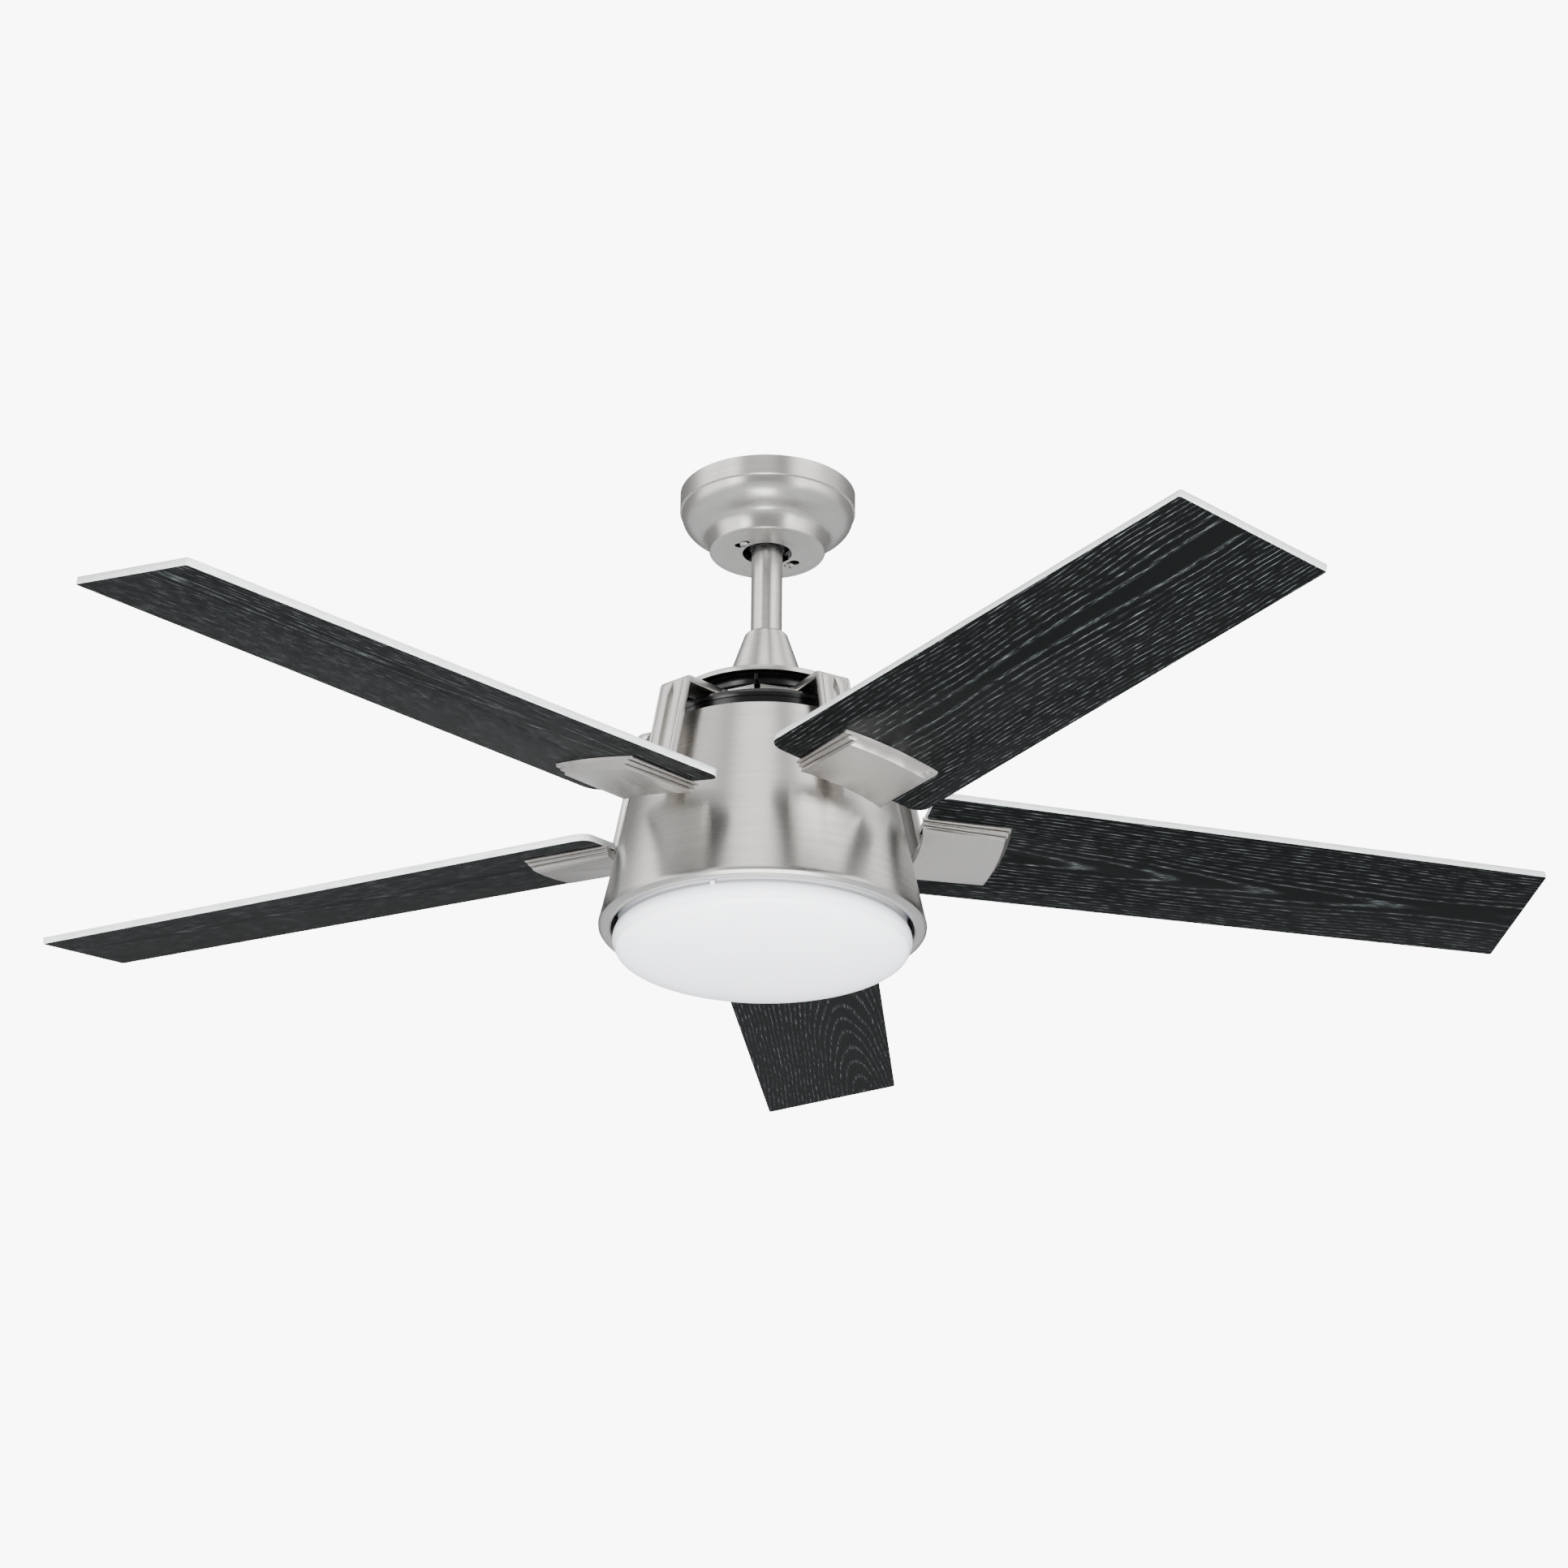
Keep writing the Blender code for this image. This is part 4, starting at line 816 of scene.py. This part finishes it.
def light_shade():
    """The opal shade: short neck, rounded side, shallow dome, and a small tab at its rim."""
    out, low = SHADE_HIGH.x, SHADE_LOW.z
    rim_r, rim_z = out - 2.4 * MM, -414 * MM
    rings = 26
    tab_bearing = radians(257)
    dome = []
    for i in range(1, rings):
        t = radians(90 * i / rings)
        # A little fuller than an ellipse at the rim, a little flatter in the middle.
        dome.append((rim_r * cos(t) ** 0.9, rim_z - (rim_z - low) * sin(t) ** 1.15))
    neck = [(117.6 * MM, SHADE_HIGH.z), (117.6 * MM, -398.5 * MM), (118.4 * MM, -399.8 * MM),
            (120.2 * MM, -401.4 * MM), (121.2 * MM, -403.6 * MM)]
    side = [*neck, (out, -406.6 * MM), (out - 0.1 * MM, -409 * MM), (out - 0.9 * MM, -411.6 * MM),
            (rim_r, rim_z)]
    shade = turned("opal_shade", [*side, *dome, (0, low)], wall=2.4 * MM, sides=FINEST)
    tab = slab("tab", (118.6 * MM, -1.6 * MM, -401.6 * MM), (121.4 * MM, 1.6 * MM, -399.4 * MM))
    settle(tab, Matrix.Rotation(tab_bearing, 4, "Z"))
    join_solid(shade, [tab], "UNION")
    smooth(shade, 40)
    fit(shade, "shade", ["light_shade"], OPAL, slot="opal_shade")


def carried_over():
    """Finishes for the CAD nodes that keep their own shape."""
    finishes = {
        "hanger_bracket": ZINC, "remote_receiver": ABS_BLACK, "ball_pin": ZINC, "lead_bundle": SLEEVE,
        "motor_yoke": ENAMEL, "yoke_pin": ZINC, "yoke_pin_clip": ZINC, "yoke_set_screw": ZINC,
        "motor_shaft": ZINC, "stator_core": LAMINATION, "upper_coils": COPPER, "lower_coils": COPPER,
        "upper_bearing": BRIGHT, "lower_bearing": BRIGHT, "magnet_ring": FERRITE, "housing_support": ZINC,
        "shaft_nut": ZINC, "housing_screw_1": ZINC, "housing_screw_2": ZINC, "housing_screw_3": ZINC,
        "light_pan": POWDER, "led_board": MASK, "led_driver": ABS_WHITE,
    }
    for name, finish in finishes.items():
        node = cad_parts[name]
        node.data.materials.clear()
        node.data.materials.append(finish)


# ---------------------------------------------------------------- studio

def studio():
    """A pale floor a room's height below, a white surround, and soft banks of light."""
    room_height = 2.4
    floor = start(bpy.ops.mesh.primitive_plane_add, "studio_floor", size=30, location=(0, 0, -room_height))
    floor.data.materials.append(mottled("pale_studio_floor", "#d3d4d7", 0.7, grain=40, spread=0.01,
                                        depth=0.0))
    # A disc of ceiling shades the inside of the canopy; no camera sees it.
    ceiling = start(bpy.ops.mesh.primitive_circle_add, "ceiling_patch", vertices=64, radius=CANOPY_R - 1 * MM,
                    fill_type="NGON", location=(0, 0, 1 * MM))
    ceiling.visible_camera = False
    ceiling.data.materials.append(floor.data.materials[0])

    world = bpy.data.worlds.new("studio_surround")
    bpy.context.scene.world = world
    world.use_nodes = True
    tree = world.node_tree
    tree.nodes.clear()
    way = add(tree, "ShaderNodeSeparateXYZ",
              {"Vector": add(tree, "ShaderNodeTexCoord").outputs["Generated"]}).outputs
    # Bearing of a direction from the camera's side, 0 to 1 round the room.
    side = add(tree, "ShaderNodeMath", {0: way["X"], 1: way["Y"]}, operation="ARCTAN2").outputs["Value"]
    bearing = add(tree, "ShaderNodeMapRange",
                  {"Value": side, "From Min": -pi, "From Max": pi}).outputs["Result"]
    banks = add(tree, "ShaderNodeValToRGB", {"Fac": bearing})
    stops(banks, *BANKS_HIGH)
    lows = add(tree, "ShaderNodeValToRGB", {"Fac": bearing})
    stops(lows, *BANKS_LOW)
    rise = add(tree, "ShaderNodeMapRange",
               {"Value": way["Z"], "From Min": 0.48, "From Max": 0.66}).outputs["Result"]
    room = add(tree, "ShaderNodeMix", {"Factor": rise}, data_type="RGBA")
    tree.links.new(lows.outputs["Color"], room.inputs[6])
    tree.links.new(banks.outputs["Color"], room.inputs[7])
    seen = add(tree, "ShaderNodeBackground", {"Color": (1, 1, 1, 1), "Strength": WHITE})
    light = add(tree, "ShaderNodeBackground", {"Color": room.outputs[2], "Strength": ROOM})
    ray = add(tree, "ShaderNodeLightPath").outputs["Is Camera Ray"]
    mixed = add(tree, "ShaderNodeMixShader", {0: ray, 1: light.outputs[0], 2: seen.outputs[0]})
    add(tree, "ShaderNodeOutputWorld", {"Surface": mixed.outputs[0]})

    middle = (0, 0, -0.3)
    bank("key_bank", (-2.2, -3.2, 0.7), middle, (1.2, 1.2), 20)
    bank("fill_bank", (2.6, -2.4, -0.4), middle, (0.8, 1.6), 10)
    bank("floor_bank", (0.1, -1.5, -2.2), middle, (2.4, 1.6), 300, mirrored=False)
    bank("sheen_bank", (0.1, -0.6, -2.3), middle, (1.8, 1.8), 60)


def bank(name, place, aim, size, power, mirrored=True):
    """A soft area light at a place, turned to a point; one that is not mirrored only lifts the
    matt surfaces."""
    lamp = bpy.data.lights.new(name, "AREA")
    lamp.energy = power
    lamp.shape = "RECTANGLE"
    lamp.size, lamp.size_y = size
    stand = bpy.data.objects.new(name, lamp)
    bpy.context.collection.objects.link(stand)
    stand.visible_glossy = mirrored
    stand.location = place
    stand.rotation_euler = (Vector(aim) - Vector(place)).to_track_quat("-Z", "Y").to_euler()


# Brightness round the room, by bearing: 0.5 is away from the camera, 0 and 1 are towards it.
BANKS_HIGH = ((0.0, grey(255)), (0.055, grey(250)), (0.085, grey(105)), (0.20, grey(150)),
              (0.24, grey(250)), (0.30, grey(240)), (0.37, grey(110)), (0.50, grey(80)),
              (0.60, grey(100)), (0.66, grey(245)), (0.70, grey(230)), (0.735, grey(100)),
              (0.77, grey(120)), (0.80, grey(250)), (0.885, grey(250)), (0.905, grey(115)),
              (0.94, grey(130)), (0.965, grey(250)), (1.0, grey(255)))
BANKS_LOW = ((0.0, grey(95)), (0.08, grey(100)), (0.11, grey(255)), (0.22, grey(245)), (0.28, grey(110)),
             (0.5, grey(75)), (0.68, grey(110)), (0.76, grey(200)), (0.80, grey(255)), (0.87, grey(255)),
             (0.91, grey(110)), (1.0, grey(95)))
WHITE = 9.0                         # brightness of the surround as the camera sees it
ROOM = 2.6                          # brightness of the light it gives


def camera():
    """Seen from below, a long lens some three metres off."""
    heading, lift, roll = radians(-5.81), radians(23.13), radians(0.57)
    place = Matrix.Translation((0.2951, -2.74, -1.4448))
    ahead = Vector((sin(heading) * cos(lift), cos(heading) * cos(lift), sin(lift)))
    right = Vector((cos(heading), -sin(heading), 0))
    up = right.cross(ahead)
    right, up = right * cos(roll) + up * sin(roll), up * cos(roll) - right * sin(roll)
    lens = bpy.data.cameras.new("studio_camera")
    lens.lens, lens.sensor_width = 83.35, 36
    lens.clip_start, lens.clip_end = 0.05, 60
    view = bpy.data.objects.new("studio_camera", lens)
    bpy.context.collection.objects.link(view)
    view.matrix_world = place @ Matrix((right, up, -ahead)).transposed().to_4x4()
    bpy.context.scene.camera = view


canopy()
canopy_screws()
hanger_ball()
downrod()
coupling_cover()
top_cap()
rotor_casting()
rotor_can()
blade_arms()
blades()
blade_screws()
motor_housing()
light_shade()
carried_over()
studio()
camera()
